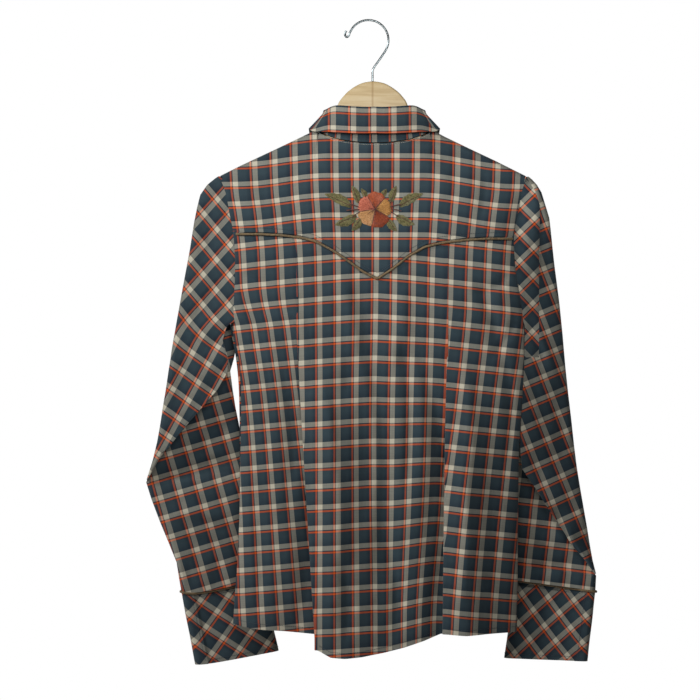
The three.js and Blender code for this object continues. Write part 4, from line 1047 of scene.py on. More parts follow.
# piping: a round covered cord swept along its line as a curve, then made a mesh

def curveMesh(name, curve, radius, rounding):  # a curve is given its thickness and made a mesh
    curve.bevel_depth = radius * mm
    curve.bevel_resolution = rounding
    curve.use_fill_caps = True
    obj = bpy.data.objects.new(name, curve)
    bpy.context.collection.objects.link(obj)
    selectOnly(obj)
    bpy.ops.object.convert(target="MESH")
    obj = bpy.context.active_object
    obj.name = name
    obj.data.name = name
    bpy.ops.object.shade_smooth_by_angle(angle=math.radians(50))
    return obj


def cordAlong(name, points, radius):
    curve = bpy.data.curves.new(name, "CURVE")
    curve.dimensions = "3D"
    spline = curve.splines.new("NURBS")
    spline.points.add(len(points) - 1)
    for k, p in enumerate(points):
        spline.points[k].co = (p[0] * mm, p[1] * mm, p[2] * mm, 1)
    spline.use_endpoint_u = True
    spline.order_u = 4
    curve.resolution_u = 3
    return curveMesh(name, curve, radius, 3)


def yokePiping():
    points = []
    count = 120
    for k in range(count + 1):
        x = mix(-170, 185, k / count)
        points.append(backPoint(x, yokeZ(x) - cordRadius - liftOff, cordRadius + liftOff + 0.3))
    return cordAlong("yoke_cord", points, cordRadius)


def cuffPiping(name, cuff, out):
    around = aroundCuff(cuff)
    points = []
    count = 110
    for k in range(count + 1):
        length = -6 + (around - 5) * k / count
        if length < 0:
            lap = smooth(length, -cuffLap, -1)
        else:
            lap = 1 - smooth(length, cuffLap, cuffLap + 8)
        points.append(cuffPlace(cuff, out, length, cordRadius + 0.3 + cuffLapRise * lap, 0.6))
    return cordAlong(name, points, cordRadius)


yokeCord = yokePiping()
cuffCordLeft = cuffPiping("cuff_cord_left", cuffs["left"], -1)
cuffCordRight = cuffPiping("cuff_cord_right", cuffs["right"], 1)
print("piping laid")


# pearl snaps: a domed pearl cap in a rolled metal rim

snap = {"radius": 5.6, "height": 2.8, "count": 7, "topZ": -262, "pitch": 84}


def snapPiece(name, seat, facing, lift):
    bpy.ops.object.select_all(action="DESELECT")
    bpy.ops.mesh.primitive_cylinder_add(vertices=40, radius=snap["radius"] * mm, depth=1.6 * mm)
    obj = bpy.context.active_object
    obj.name = name
    obj.data.name = name
    bpy.ops.object.mode_set(mode="EDIT")
    bpy.ops.mesh.select_mode(type="FACE")
    bpy.ops.mesh.select_all(action="DESELECT")
    bpy.ops.object.mode_set(mode="OBJECT")
    for polygon in obj.data.polygons:
        polygon.select = polygon.normal.z > 0.9
    bpy.ops.object.mode_set(mode="EDIT")
    for inward, up in ((0.5, 0.5), (0.5, 0.1), (0.3, -0.35), (0.9, 0.45), (1.2, 0.3), (1.2, 0.12)):
        bpy.ops.mesh.inset(thickness=inward * mm)
        bpy.ops.transform.translate(value=(0, 0, up * mm))
    bpy.ops.object.mode_set(mode="OBJECT")
    height = max(v.co.z for v in obj.data.vertices)
    low = min(v.co.z for v in obj.data.vertices)
    turn = Vector((0, 0, 1)).rotation_difference(Vector(facing))
    seatAt = Vector(seat) + Vector(facing) * lift
    for v in obj.data.vertices:
        p = Vector((v.co.x, v.co.y, (v.co.z - low) * snap["height"] * mm / (height - low)))
        v.co = turn @ p + seatAt * mm
    for polygon in obj.data.polygons:
        middle = sum((obj.data.vertices[n].co for n in polygon.vertices), Vector()) / len(polygon.vertices)
        away = (middle - seatAt * mm) - (middle - seatAt * mm).dot(Vector(facing)) * Vector(facing)
        polygon.material_index = 0 if away.length < (snap["radius"] - 1.5) * mm else 1
    bpy.ops.object.shade_smooth_by_angle(angle=math.radians(45))
    return obj


def snapPieces():
    made = {}
    for k in range(snap["count"]):
        z = snap["topZ"] - k * snap["pitch"]
        seat = frontPoint(middleX(z), z, front["placketRise"])
        made["snap_%d" % (k + 1)] = snapPiece("pearl_snap_%d" % (k + 1), seat, (0, 1, 0), 1.3)
    low, high = Vector(neckEdge(180)), standTop(180)
    seat = low.lerp(high, 0.5) + Vector((0, 1.3, 0))
    made["snap_stand"] = snapPiece("pearl_snap_stand", tuple(seat), (0, 1, 0), 1.8)
    for name, out in (("left", -1), ("right", 1)):
        cuff = cuffs[name]
        for k in range(2):
            down = cuff["height"] * (0.26 + 0.48 * k)
            seat = cuffPlace(cuff, out, aroundCuff(cuff) - math.pi * cuffDepth / 2 - 9, 0, down)
            lift = liftOff + 1.2 * down / cuff["height"] + 0.9
            node = "cuff_snap_%s_%d" % (name, k + 1)
            made[node] = snapPiece("pearl_" + node, seat, (0, 1, 0), lift)
    return made


snaps = snapPieces()
print("snaps set")


# hanger: a shaped maple board and its wire hook

hanger = {"thick": 12.0, "round": 2.4, "wire": 1.4}
hangerOutline = [
    (193, -217.3), (188, -206.8), (150, -185.3), (98, -161.8), (72, -152.3), (57, -135), (51, -109),
    (45, -99), (36, -90), (23, -82), (11, -79), (1, -79), (-11, -82), (-24, -90), (-33, -99), (-40, -110),
    (-47, -135), (-60, -153.3), (-90, -166.3), (-150, -195.3), (-176, -209.3), (-181, -218.3), (-178, -233),
    (-150, -223), (-90, -196), (-40, -180), (6, -176), (52, -180), (100, -194), (155, -216), (190, -230)]


def hangerBoard():
    bpy.ops.object.select_all(action="DESELECT")
    outline = through(hangerOutline, 5, closed=True)
    inset = hanger["round"]
    bpy.ops.mesh.primitive_circle_add(vertices=len(outline), radius=0.1, fill_type="NGON")
    obj = bpy.context.active_object
    obj.name = "maple_hanger"
    obj.data.name = "maple_hanger"
    for vertex, (x, z) in zip(obj.data.vertices, outline):
        vertex.co = (x * mm, (hanger["thick"] / 2) * mm, z * mm)
    bpy.ops.object.mode_set(mode="EDIT")
    bpy.ops.mesh.select_all(action="SELECT")
    bpy.ops.mesh.extrude_region_move(TRANSFORM_OT_translate={"value": (0, -hanger["thick"] * mm, 0)})
    bpy.ops.mesh.select_all(action="SELECT")
    bpy.ops.mesh.normals_make_consistent(inside=False)
    bpy.ops.object.mode_set(mode="OBJECT")
    rounded = obj.modifiers.new("rounded", "BEVEL")
    rounded.width = inset * mm
    rounded.segments = 4
    rounded.limit_method = "ANGLE"
    rounded.angle_limit = math.radians(50)
    applyModifiers(obj)
    bpy.ops.object.shade_smooth_by_angle(angle=math.radians(40))
    return obj


def hookWire():
    points = [(5.6, 0, -78.7), (5.6, 0, -71), (5.7, 0, -65), (7.6, 0, -60), (15.7, 0, -48.5)]
    for k in range(11):
        a = math.radians(mix(-28, 158, k / 10))
        points.append((0.3 + 26 * math.cos(a), 0, -24.6 + 26 * math.sin(a)))
    points += [(-25.6, 0, -19.4), (-28.4, 0, -20.6), (-30.2, 0, -17.6), (-28.6, 0, -12.4)]
    return cordAlong("steel_hook", through(points, 6), hanger["wire"])


hangerWood = hangerBoard()
hookSteel = hookWire()
print("hanger and hook made")


# sewn flower on the yoke: padded patches of laid thread, each with its threads as a UV map

flower = {"x": 8.6, "z": -246.3, "lift": 0.35, "dome": 1.2, "veins": 0.3, "rib": 0.36, "ribShare": 0.82,
          "ribLift": 0.95, "seamLift": 0.5, "veinLift": 0.25, "stemLift": 0.9, "threads": 1.5}
petals = table(  # wedge from and to in degrees, reach, thread
    "start end reach tone",
    (50, 119, 22.6, "rust"), (121, 187, 22.4, "coral"), (189, 258, 23.2, "sand"),
    (260, 330, 23.8, "russet"), (332, 408, 20.8, "gold"))
leaves = table(  # base, tip and half width, measured from the middle of the flower
    "x0 z0 x1 z1 half",
    (-31, 4, -65, 20, 6.2), (-21.5, 8.5, -30, 31, 4.6), (-11.5, 15, -18, 27, 3.4), (-24, -8, -52, -20, 6.2),
    (-18.5, -12, -30, -27.5, 4.8), (31.5, 4.5, 62, 20.5, 6.2), (20.5, 9.5, 27.5, 30.5, 4.6),
    (9.5, 16, 15, 26.5, 3.4), (27.5, -8.5, 51, -19.5, 6.0), (16.5, -13, 28, -28, 4.8))
stems = table(
    "x0 z0 x1 z1 thick",
    (-20, 2.5, -33, 7, 0.75), (-20, 0, -37, -1.5, 0.8), (-19, -3, -29, -9, 0.55), (-17, 5.5, -23, 10, 0.5),
    (19, 3, 33, 6.5, 0.75), (20, 0.5, 34, -2, 0.55), (19, -2.5, 30, -9.5, 0.6), (17, 6, 22, 10.5, 0.5))


def onCloth(obj, x, z, out):  # a place seen from behind on a laid piece, and its outward direction
    hit, place, normal, face = obj.ray_cast(Vector((x * mm, -0.3, z * mm)), Vector((0, 1, 0)))
    normal = normal if normal.y < 0 else -normal
    return place / mm + normal * out, normal


def sewnAt(x, z, out):
    return tuple(onCloth(yokeCloth, flower["x"] + x, flower["z"] + z, out)[0])


def threadPatch(name, points, threadAt):
    obj = layCloth(name, points, threadAt, 0.35)
    obj.data.uv_layers.active.name = "thread"
    del obj["flat"]
    return obj


def petalPatch(name, petal):
    rows, columns = 14, 22
    points = []
    for i in range(rows + 1):
        row = []
        share = mix(0.05, 1, i / rows)
        for j in range(columns + 1):
            t = 2 * j / columns - 1
            wave = 1 - 0.13 * abs(t) ** 5 + 0.028 * math.sin(7.5 * t + petal["start"])
            angle = math.radians(mix(petal["start"], petal["end"], j / columns))
            reach = petal["reach"] * share * mix(1, wave, share)
            rim = 0.55 * math.exp(-((share - 0.88) / 0.07) ** 2)
            dome = flower["dome"] * (1 - t ** 6) * (1 - share ** 10) * min(1, 0.35 + 1.4 * share) + rim
            row.append(sewnAt(reach * math.cos(angle), reach * math.sin(angle), flower["lift"] + dome))
        points.append(row)
    return threadPatch(name, points, lambda p, i, j, cell: (
        17 * j / columns + 0.5 * math.sin(0.5 * i), 10 * i / rows))


def leafPatch(name, leaf):
    rows, columns = 20, 8
    dx, dz = leaf["x1"] - leaf["x0"], leaf["z1"] - leaf["z0"]
    length = math.hypot(dx, dz)
    points = []
    for i in range(rows + 1):
        t = i / rows
        half = leaf["half"] * math.sin(math.pi * min(1, 0.04 + 0.96 * t) ** 0.85) ** 0.85
        half *= 1 + 0.07 * math.sin(2 * math.pi * 4.3 * t)
        sway = 0.06 * length * math.sin(math.pi * t) * (1 if dx * dz > 0 else -1)
        row = []
        for j in range(columns + 1):
            s = 2 * j / columns - 1
            aside = half * s + sway
            dome = 0.8 * flower["dome"] * (1 - s ** 4) * min(1, 5 * t, 5 * (1 - t))
            dome -= 0.35 * math.exp(-(s / 0.16) ** 2)
            x = leaf["x0"] + dx * t - dz / length * aside
            z = leaf["z0"] + dz * t + dx / length * aside
            row.append(sewnAt(x, z, flower["lift"] - 0.2 + dome))
        points.append(row)

    def threadAt(p, i, j, cell):
        outward = abs(2 * j / columns - 1) * leaf["half"]
        return flower["threads"] * (length * i / rows + outward), j / columns

    return threadPatch(name, points, threadAt)


def sewnCord(name, start, end, radius, out):
    steps = 6
    points = []
    for k in range(steps + 1):
        t = k / steps
        x, z = (mix(a, b, t) for a, b in zip(start, end))
        points.append(sewnAt(x, z + 0.4 * math.sin(math.pi * t), out))
    return cordAlong(name, points, radius)


def fromMiddle(degrees, reach):
    turn = math.radians(degrees)
    return reach * math.cos(turn), reach * math.sin(turn)


def joinAs(name, pieces):
    bpy.ops.object.select_all(action="DESELECT")
    for piece in pieces:
        piece.select_set(True)
    bpy.context.view_layer.objects.active = pieces[0]
    if len(pieces) > 1:
        bpy.ops.object.join()
    obj = bpy.context.active_object
    obj.name = name
    obj.data.name = name
    return obj


petalPieces = {row["tone"]: petalPatch("sewn_petal_" + row["tone"], row) for row in petals}
leafPieces = joinAs("sewn_leaves", [leafPatch("leaf_%d" % k, row) for k, row in enumerate(leaves)])
stemCords = []
for row in stems:
    base, tip = (row["x0"], row["z0"]), (row["x1"], row["z1"])
    stemCords.append(sewnCord("stem", base, tip, row["thick"], flower["stemLift"]))
for row in leaves:  # midribs
    base, tip = (row["x0"], row["z0"]), (row["x1"], row["z1"])
    end = [mix(a, b, flower["ribShare"]) for a, b in zip(base, tip)]
    stemCords.append(sewnCord("rib", base, end, flower["rib"], flower["lift"] + flower["ribLift"]))
for row in petals:  # dark thread between the petals
    turn = row["start"] - 1
    stemCords.append(sewnCord("seam", fromMiddle(turn, 1.5), fromMiddle(turn, 19), flower["veins"],
                              flower["lift"] + flower["seamLift"]))
for k in range(10):  # short veins round the middle
    turn, reach = 36 * k + 14 + 9 * (k % 3), 5.5 + 2.4 * ((k * 7) % 3)
    stemCords.append(sewnCord("vein", fromMiddle(turn, 0.4), fromMiddle(turn, reach), flower["veins"],
                              flower["lift"] + flower["dome"] + flower["veinLift"]))
stemPieces = joinAs("sewn_stems", stemCords)
print("flower sewn")


# stitching: each stitch is a short bent length of thread lying on the cloth

stitch = {"length": 2.1, "pitch": 2.9, "radius": 0.24, "lift": 0.15,
          "hemUp": 7, "neckIn": 1.6, "seamUp": 5.5, "cuffIn": 5.5}


def stitchLine(name, line):  # line: points with the outward direction at each
    curve = bpy.data.curves.new(name, "CURVE")
    curve.dimensions = "3D"
    reached = 0.0
    nextStart = 0.0
    lengths = [0.0]
    for (a, outA), (b, outB) in zip(line, line[1:]):
        reached += (b - a).length
        lengths.append(reached)

    def at(length):
        k = 1
        while k < len(lengths) - 1 and lengths[k] < length:
            k += 1
        share = clamp((length - lengths[k - 1]) / max(1e-6, lengths[k] - lengths[k - 1]), 0, 1)
        return line[k - 1][0].lerp(line[k][0], share), line[k - 1][1].lerp(line[k][1], share)

    while nextStart + stitch["length"] < reached:
        spline = curve.splines.new("POLY")
        spline.points.add(3)
        for n, (share, up) in enumerate(((0, -0.2), (0.25, 0.14), (0.75, 0.14), (1, -0.2))):
            place, out = at(nextStart + share * stitch["length"])
            place = (place + up * out) * mm
            spline.points[n].co = (place.x, place.y, place.z, 1)
        nextStart += stitch["pitch"]
    return curveMesh(name, curve, stitch["radius"], 1)


def lineOn(cloth, start, end, count, heightAt):
    line = []
    for k in range(count + 1):
        x = mix(start, end, k / count)
        line.append(onCloth(cloth, x, heightAt(x), stitch["lift"]))
    return line


def hemStitches():
    parts = []
    first, second = (foldLip(fold, -790) for fold in backFolds)
    for start, end in ((-172, first - 5), (first + 4, second - 5), (second + 4, 192)):
        line = lineOn(backCloth, start, end, 60, lambda x: hemZ(x) + stitch["hemUp"])
        parts.append(stitchLine("hem_stitch", line))
    return joinAs("hem_stitches", parts)


def neckStitchZ(x):
    sine = clamp((x - neck["x"]) / neck["half"], -1, 1)
    return neckEdge(math.degrees(math.asin(sine)))[2] - stitch["neckIn"]


def cuffStitches(name, cuff, out):
    def onCuff(length, down, rise):  # a place on the cuff with its outward direction
        rise += 0.65 + 1.2 * down / cuff["height"]
        low, high = (Vector(cuffPlace(cuff, out, length, rise + up, down)) for up in (0, 1))
        return low, high - low

    start, end = cuffLap + 3, aroundCuff(cuff) - 12
    parts = []
    for down in (stitch["cuffIn"], cuff["height"] - stitch["cuffIn"]):
        line = [onCuff(mix(start, end, k / 120), down, 0) for k in range(121)]
        parts.append(stitchLine("cuff_stitch", line))
    line = [onCuff(cuffLap - 3, mix(4, cuff["height"] - 4, k / 30), cuffLapRise) for k in range(31)]
    parts.append(stitchLine("cuff_stitch", line))      # down the end of the lap
    return joinAs(name, parts)


def seamStitches():  # on the yoke, above its piping
    line = lineOn(yokeCloth, -166, 181, 160, lambda x: yokeZ(x) + stitch["seamUp"])
    return joinAs("yoke_stitches", [stitchLine("seam_stitch", line)])


navyStitches = [hemStitches(), cuffStitches("cuff_stitches_left", cuffs["left"], -1),
                cuffStitches("cuff_stitches_right", cuffs["right"], 1), seamStitches()]
paleStitches = [stitchLine("neck_stitches", lineOn(yokeCloth, -66, 82, 80, neckStitchZ))]
print("stitching done")


# materials: every constant sits on a shader socket, patterns on UV maps or object places

def linear(r, g, b):  # a colour as seen on screen, turned to the renderer's values
    return tuple(((c / 255) / 12.92 if c <= 10 else ((c / 255 + 0.055) / 1.055) ** 2.4)
                 for c in (r, g, b)) + (1.0,)


def startMaterial(name):
    made = bpy.data.materials.new(name)
    made.use_nodes = True
    tree = made.node_tree
    tree.nodes.clear()
    out = tree.nodes.new("ShaderNodeOutputMaterial")
    shader = tree.nodes.new("ShaderNodeBsdfPrincipled")
    tree.links.new(shader.outputs["BSDF"], out.inputs["Surface"])
    return made, tree, shader


def mathNode(tree, operation, a, b=None, c=None):
    node = tree.nodes.new("ShaderNodeMath")
    node.operation = operation
    for k, value in enumerate((a, b, c)):
        if value is None:
            continue
        if isinstance(value, (int, float)):
            node.inputs[k].default_value = value
        else:
            tree.links.new(value, node.inputs[k])
    return node.outputs[0]


def rampNode(tree, factor, stops, interpolation="LINEAR"):
    node = tree.nodes.new("ShaderNodeValToRGB")
    node.color_ramp.interpolation = interpolation
    elements = node.color_ramp.elements
    while len(elements) > 1:
        elements.remove(elements[0])
    for k, (position, colour) in enumerate(stops):
        element = elements[0] if k == 0 else elements.new(position)
        element.position = position
        element.color = colour
    tree.links.new(factor, node.inputs["Fac"])
    return node


def mixColour(tree, factor, a, b, blend="MIX"):
    node = tree.nodes.new("ShaderNodeMix")
    node.data_type = "RGBA"
    node.blend_type = blend
    for socket, value in ((node.inputs["Factor"], factor), (node.inputs[6], a), (node.inputs[7], b)):
        if isinstance(value, (int, float, tuple)):
            socket.default_value = value
        else:
            tree.links.new(value, socket)
    return node.outputs[2]


def objectNoise(tree, scale, detail=2, distortion=0):  # fixed to the object's own places
    place = tree.nodes.new("ShaderNodeTexCoord")
    noise = tree.nodes.new("ShaderNodeTexNoise")
    noise.inputs["Scale"].default_value = scale
    noise.inputs["Detail"].default_value = detail
    noise.inputs["Distortion"].default_value = distortion
    tree.links.new(place.outputs["Object"], noise.inputs["Vector"])
    return noise.outputs["Fac"]


def splitUv(tree, name):
    uv = tree.nodes.new("ShaderNodeUVMap")
    uv.uv_map = name
    split = tree.nodes.new("ShaderNodeSeparateXYZ")
    tree.links.new(uv.outputs["UV"], split.inputs[0])
    return split.outputs["X"], split.outputs["Y"]


def addBump(tree, shader, height, strength, distance):
    bump = tree.nodes.new("ShaderNodeBump")
    bump.inputs["Strength"].default_value = strength
    bump.inputs["Distance"].default_value = distance
    tree.links.new(height, bump.inputs["Height"])
    tree.links.new(bump.outputs["Normal"], shader.inputs["Normal"])


def setShader(shader, **values):  # roughness=0.5 sets the socket Roughness, and so on
    for name, value in values.items():
        shader.inputs[socketNames[name]].default_value = value


socketNames = {
    "roughness": "Roughness", "metallic": "Metallic", "sheen": "Sheen Weight",
    "sheenRough": "Sheen Roughness", "specular": "Specular IOR Level",
    "coat": "Coat Weight", "coatRough": "Coat Roughness",
}
plaid = {
    "slate": linear(55, 72, 80),
    "navy": linear(30, 41, 54),
    "cream": linear(212, 205, 184),
    "orange": linear(228, 92, 22),
    "groundWeight": 0.62,
    "creamWeight": 0.36,
    "orangeWarpWeight": 0.5,
    "orangeWeftWeight": 0.8,
    "threads": 64.0,        # in one repeat of the check
    "sheen": 0.12,
    "roughness": 0.86,
}


def plaidMaterial():
    made, tree, shader = startMaterial("plaid_cloth")
    u, v = splitUv(tree, "check")
    edge = 0.008

    def yarn(colour, weight):
        return plaid[colour][:3] + (plaid[weight],)

    ground = yarn("slate", "groundWeight")
    gap = yarn("navy", "groundWeight")
    cream = yarn("cream", "creamWeight")
    orangeWarp = yarn("orange", "orangeWarpWeight")
    orangeWeft = yarn("orange", "orangeWeftWeight")
    warpStops = [
        (0.0, ground), (0.212, gap), (0.23, gap), (0.23 + edge, orangeWarp), (0.318, orangeWarp),
        (0.318 + edge, gap), (0.368, gap), (0.368 + edge, cream), (0.624, cream),
        (0.624 + edge, gap), (0.645, ground)]
    weftStops = [
        (0.0, ground), (0.36, gap), (0.382, gap), (0.382 + edge, cream), (0.61, cream), (0.61 + edge, gap),
        (0.664, gap), (0.664 + edge, orangeWeft), (0.75, orangeWeft), (0.75 + edge, gap), (0.78, ground)]
    fractU = mathNode(tree, "FRACT", mathNode(tree, "ADD", u, 0.5))
    fractV = mathNode(tree, "FRACT", mathNode(tree, "ADD", v, 0.5))
    warp = rampNode(tree, fractU, warpStops)
    weft = rampNode(tree, fractV, weftStops)

    def streaks(value, scale):  # threads differ a little, along their whole length
        noise = tree.nodes.new("ShaderNodeTexNoise")
        noise.noise_dimensions = "1D"
        noise.inputs["Scale"].default_value = scale
        noise.inputs["Detail"].default_value = 3
        tree.links.new(value, noise.inputs["W"])
        return mathNode(tree, "MULTIPLY_ADD", noise.outputs["Fac"], 0.7, 0.65)

    warpWeight = mathNode(tree, "MULTIPLY", warp.outputs["Alpha"], streaks(u, 26))
    weftWeight = mathNode(tree, "MULTIPLY", weft.outputs["Alpha"], streaks(v, 26))
    share = mathNode(tree, "DIVIDE", weftWeight, mathNode(tree, "ADD", warpWeight, weftWeight))
    colour = mixColour(tree, share, warp.outputs["Color"], weft.outputs["Color"])
    washed = rampNode(tree, objectNoise(tree, 38, 5), [
        (0.3, (0.9, 0.9, 0.9, 1)), (0.72, (1.08, 1.08, 1.08, 1))])
    colour = mixColour(tree, 1.0, colour, washed.outputs["Color"], "MULTIPLY")
    tree.links.new(colour, shader.inputs["Base Color"])
    overU, overV = (mathNode(tree, "SINE", mathNode(tree, "MULTIPLY", way, plaid["threads"] * math.pi))
                    for way in (u, v))
    weave = mathNode(tree, "MULTIPLY_ADD", mathNode(tree, "MULTIPLY", overU, overV), 0.5, 0.5)
    addBump(tree, shader, weave, 0.35, 0.00015)
    setShader(shader, roughness=plaid["roughness"], sheen=plaid["sheen"], sheenRough=0.5, specular=0.25)
    return made


def pipingMaterial():
    made, tree, shader = startMaterial("piping_cloth")
    noise = objectNoise(tree, 420, 4)
    ramp = rampNode(tree, noise, [(0.3, linear(92, 74, 48)), (0.7, linear(142, 118, 82))])
    tree.links.new(ramp.outputs["Color"], shader.inputs["Base Color"])
    addBump(tree, shader, noise, 0.5, 0.0002)
    setShader(shader, roughness=0.62, sheen=0.15)
    return made


def pearlMaterial():
    made, tree, shader = startMaterial("pearl")
    ramp = rampNode(tree, objectNoise(tree, 260, 3, 1.6), [
        (0.25, linear(206, 214, 214)), (0.5, linear(238, 234, 224)), (0.75, linear(226, 206, 196))])
    tree.links.new(ramp.outputs["Color"], shader.inputs["Base Color"])
    setShader(shader, roughness=0.18, coat=0.6, coatRough=0.08)
    return made


def rimMaterial():
    made, tree, shader = startMaterial("snap_rim")
    ramp = rampNode(tree, objectNoise(tree, 700), [
        (0.3, linear(150, 150, 152)), (0.7, linear(190, 190, 192))])
    tree.links.new(ramp.outputs["Color"], shader.inputs["Base Color"])
    setShader(shader, metallic=1.0, roughness=0.28)
    return made


def mapleMaterial():
    made, tree, shader = startMaterial("maple")
    place = tree.nodes.new("ShaderNodeTexCoord")
    mapping = tree.nodes.new("ShaderNodeMapping")
    mapping.inputs["Scale"].default_value = (6, 30, 70)
    mapping.inputs["Rotation"].default_value = (0, math.radians(24), 0)
    tree.links.new(place.outputs["Object"], mapping.inputs["Vector"])
    noise = tree.nodes.new("ShaderNodeTexNoise")
    noise.inputs["Scale"].default_value = 3.2
    noise.inputs["Detail"].default_value = 6
    noise.inputs["Distortion"].default_value = 0.4
    tree.links.new(mapping.outputs["Vector"], noise.inputs["Vector"])
    ramp = rampNode(tree, noise.outputs["Fac"], [
        (0.3, linear(198, 170, 120)), (0.5, linear(215, 189, 140)), (0.72, linear(224, 202, 158))])
    split = tree.nodes.new("ShaderNodeSeparateXYZ")
    tree.links.new(place.outputs["Object"], split.inputs[0])
    fromJoint = mathNode(tree, "ABSOLUTE", mathNode(tree, "SUBTRACT", split.outputs["X"], 5.6 * mm))
    joint = rampNode(tree, mathNode(tree, "MULTIPLY", fromJoint, 400.0), [
        (0.0, (0.72, 0.64, 0.54, 1)), (0.45, (0.88, 0.83, 0.77, 1)), (0.8, (1, 1, 1, 1))])
    colour = mixColour(tree, 1.0, ramp.outputs["Color"], joint.outputs["Color"], "MULTIPLY")
    tree.links.new(colour, shader.inputs["Base Color"])
    addBump(tree, shader, noise.outputs["Fac"], 0.12, 0.0002)
    setShader(shader, roughness=0.42, coat=0.15, coatRough=0.25)
    return made


def steelMaterial():
    made, tree, shader = startMaterial("steel_wire")
    noise = objectNoise(tree, 300)
    ramp = rampNode(tree, noise, [(0.35, linear(120, 130, 132)), (0.65, linear(160, 170, 172))])
    tree.links.new(ramp.outputs["Color"], shader.inputs["Base Color"])
    tree.links.new(mathNode(tree, "MULTIPLY_ADD", noise, 0.12, 0.14), shader.inputs["Roughness"])
    setShader(shader, metallic=1.0)
    return made


threadTones = {  # dark and light of each thread
    "rust": ((150, 62, 30), (206, 104, 62)), "coral": ((190, 88, 62), (236, 140, 112)),
    "sand": ((176, 118, 66), (228, 174, 116)), "russet": ((118, 46, 22), (178, 82, 44)),
    "gold": ((166, 108, 52), (222, 164, 92)), "olive": ((84, 82, 44), (160, 152, 100)),
    "maroon": ((66, 34, 32), (112, 64, 56)), "navy": ((28, 38, 48), (52, 68, 80)),
    "pale": ((150, 146, 132), (206, 202, 188)),
}


def threadMaterial(tone, laid):  # laid satin threads are counted by the patch's own UV map
    made, tree, shader = startMaterial("thread_" + tone)
    blend = height = objectNoise(tree, 520, 3)
    if laid:
        along = splitUv(tree, "thread")[0]
        strand = tree.nodes.new("ShaderNodeTexNoise")
        strand.noise_dimensions = "1D"
        strand.inputs["Scale"].default_value = 1.7
        tree.links.new(along, strand.inputs["W"])
        blend = mathNode(tree, "MULTIPLY", mathNode(tree, "ADD", blend, strand.outputs["Fac"]), 0.5)
        height = mathNode(tree, "SINE", mathNode(tree, "MULTIPLY", along, 2 * math.pi))
    dark, light = threadTones[tone]
    ramp = rampNode(tree, blend, [(0.4, linear(*dark)), (0.6, linear(*light))])
    tree.links.new(ramp.outputs["Color"], shader.inputs["Base Color"])
    addBump(tree, shader, height, 0.6, 0.0006)
    setShader(shader, roughness=0.5, sheen=0.1)
    return made


plaidCloth = plaidMaterial()
pipingCloth = pipingMaterial()
pearl = pearlMaterial()
snapRim = rimMaterial()
maple = mapleMaterial()
steel = steelMaterial()
clothPieces = {
    "back": backCloth, "yoke": yokeCloth, "front_left": frontLeft, "front_right": frontRight,
    "placket": placketCloth, "collar_stand": standCloth, "collar_leaf": leafCloth,
    "sleeve_left": sleeveLeft, "sleeve_right": sleeveRight, "cuff_left": cuffLeft, "cuff_right": cuffRight,
}
cordPieces = {"yoke_piping": yokeCord, "cuff_piping_left": cuffCordLeft, "cuff_piping_right": cuffCordRight}


def dress(piece, *materials):
    piece.data.materials.clear()
    for made in materials:
        piece.data.materials.append(made)
    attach(piece, "root")


def standFor(node, piece, slotName, *materials):
    dress(piece, *materials)
    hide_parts(node)


for node, piece in clothPieces.items():
    standFor(node, piece, "plaid_cloth", plaidCloth)
    wide, high, area = piece["flat"]
    del piece["flat"]
    print("sheet", node, round(wide, 4), round(high, 4), round(area, 5))
    min(area, wide * high)
for node, piece in cordPieces.items():
    standFor(node, piece, "piping_cloth", pipingCloth)
for node, piece in snaps.items():
    standFor(node, piece, "pearl", pearl, snapRim)
standFor("hanger_wood", hangerWood, "maple", maple)
standFor("hanger_hook", hookSteel, "steel_wire", steel)
for tone, piece in petalPieces.items():
    dress(piece, threadMaterial(tone, True))
dress(leafPieces, threadMaterial("olive", True))
dress(stemPieces, threadMaterial("maroon", False))
for piece in navyStitches:
    dress(piece, threadMaterial("navy", False))
for piece in paleStitches:
    dress(piece, threadMaterial("pale", False))
print("materials given")


# pale floor, soft studio light

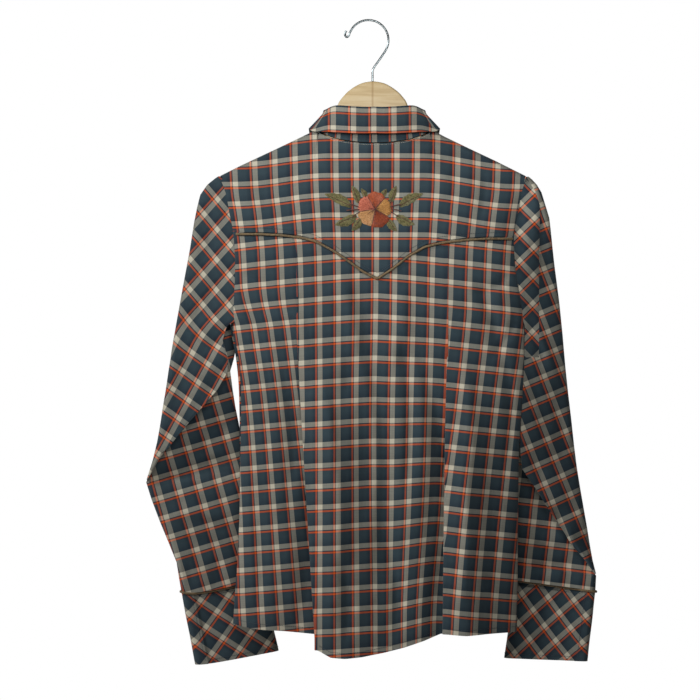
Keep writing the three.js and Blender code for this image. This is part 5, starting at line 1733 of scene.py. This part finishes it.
room = {"floorZ": -1.35, "floorRadius": 3.0, "ambient": 0.015, "aimZ": -0.3}      # metres, like the lights
lights = table(
    "name x y z wide high power",
    ("key", -2.6, -1.3, 0.9, 0.9, 0.9, 54), ("near", 0.03, -0.62, -0.08, 0.6, 0.14, 2.4),
    ("back", 0.5, 2.8, 0.6, 2.0, 2.0, 30))


def studio():
    bpy.ops.object.select_all(action="DESELECT")
    bpy.ops.mesh.primitive_circle_add(vertices=96, radius=room["floorRadius"], fill_type="NGON",
                                      location=(0, 0, room["floorZ"]))
    floor = bpy.context.active_object
    floor.name = "floor"
    made, tree, shader = startMaterial("pale_floor")
    shader.inputs["Base Color"].default_value = (0.86, 0.86, 0.86, 1)
    shader.inputs["Roughness"].default_value = 0.9
    floor.data.materials.append(made)
    world = bpy.data.worlds.new("studio")
    bpy.context.scene.world = world
    world.use_nodes = True
    tree = world.node_tree
    tree.nodes.clear()
    out = tree.nodes.new("ShaderNodeOutputWorld")
    seen = tree.nodes.new("ShaderNodeBackground")
    lit = tree.nodes.new("ShaderNodeBackground")
    seen.inputs["Color"].default_value = (1, 1, 1, 1)
    seen.inputs["Strength"].default_value = 1.0
    lit.inputs["Color"].default_value = (1.0, 0.965, 0.92, 1)
    lit.inputs["Strength"].default_value = room["ambient"]
    path = tree.nodes.new("ShaderNodeLightPath")
    either = tree.nodes.new("ShaderNodeMixShader")
    tree.links.new(path.outputs["Is Camera Ray"], either.inputs["Fac"])
    tree.links.new(lit.outputs["Background"], either.inputs[1])
    tree.links.new(seen.outputs["Background"], either.inputs[2])
    tree.links.new(either.outputs["Shader"], out.inputs["Surface"])
    for row in lights:
        data = bpy.data.lights.new(row["name"], "AREA")
        data.shape = "RECTANGLE"
        data.size, data.size_y = row["wide"], row["high"]
        data.energy = row["power"]
        lamp = bpy.data.objects.new(row["name"], data)
        bpy.context.collection.objects.link(lamp)
        lamp.location = (row["x"], row["y"], row["z"])
        aim = Vector((0, 0, room["aimZ"])) - lamp.location
        lamp.rotation_euler = aim.to_track_quat("-Z", "Y").to_euler()
    bpy.context.scene.view_settings.view_transform = "Standard"


studio()
print("studio lit")

bpy.context.view_layer.update()
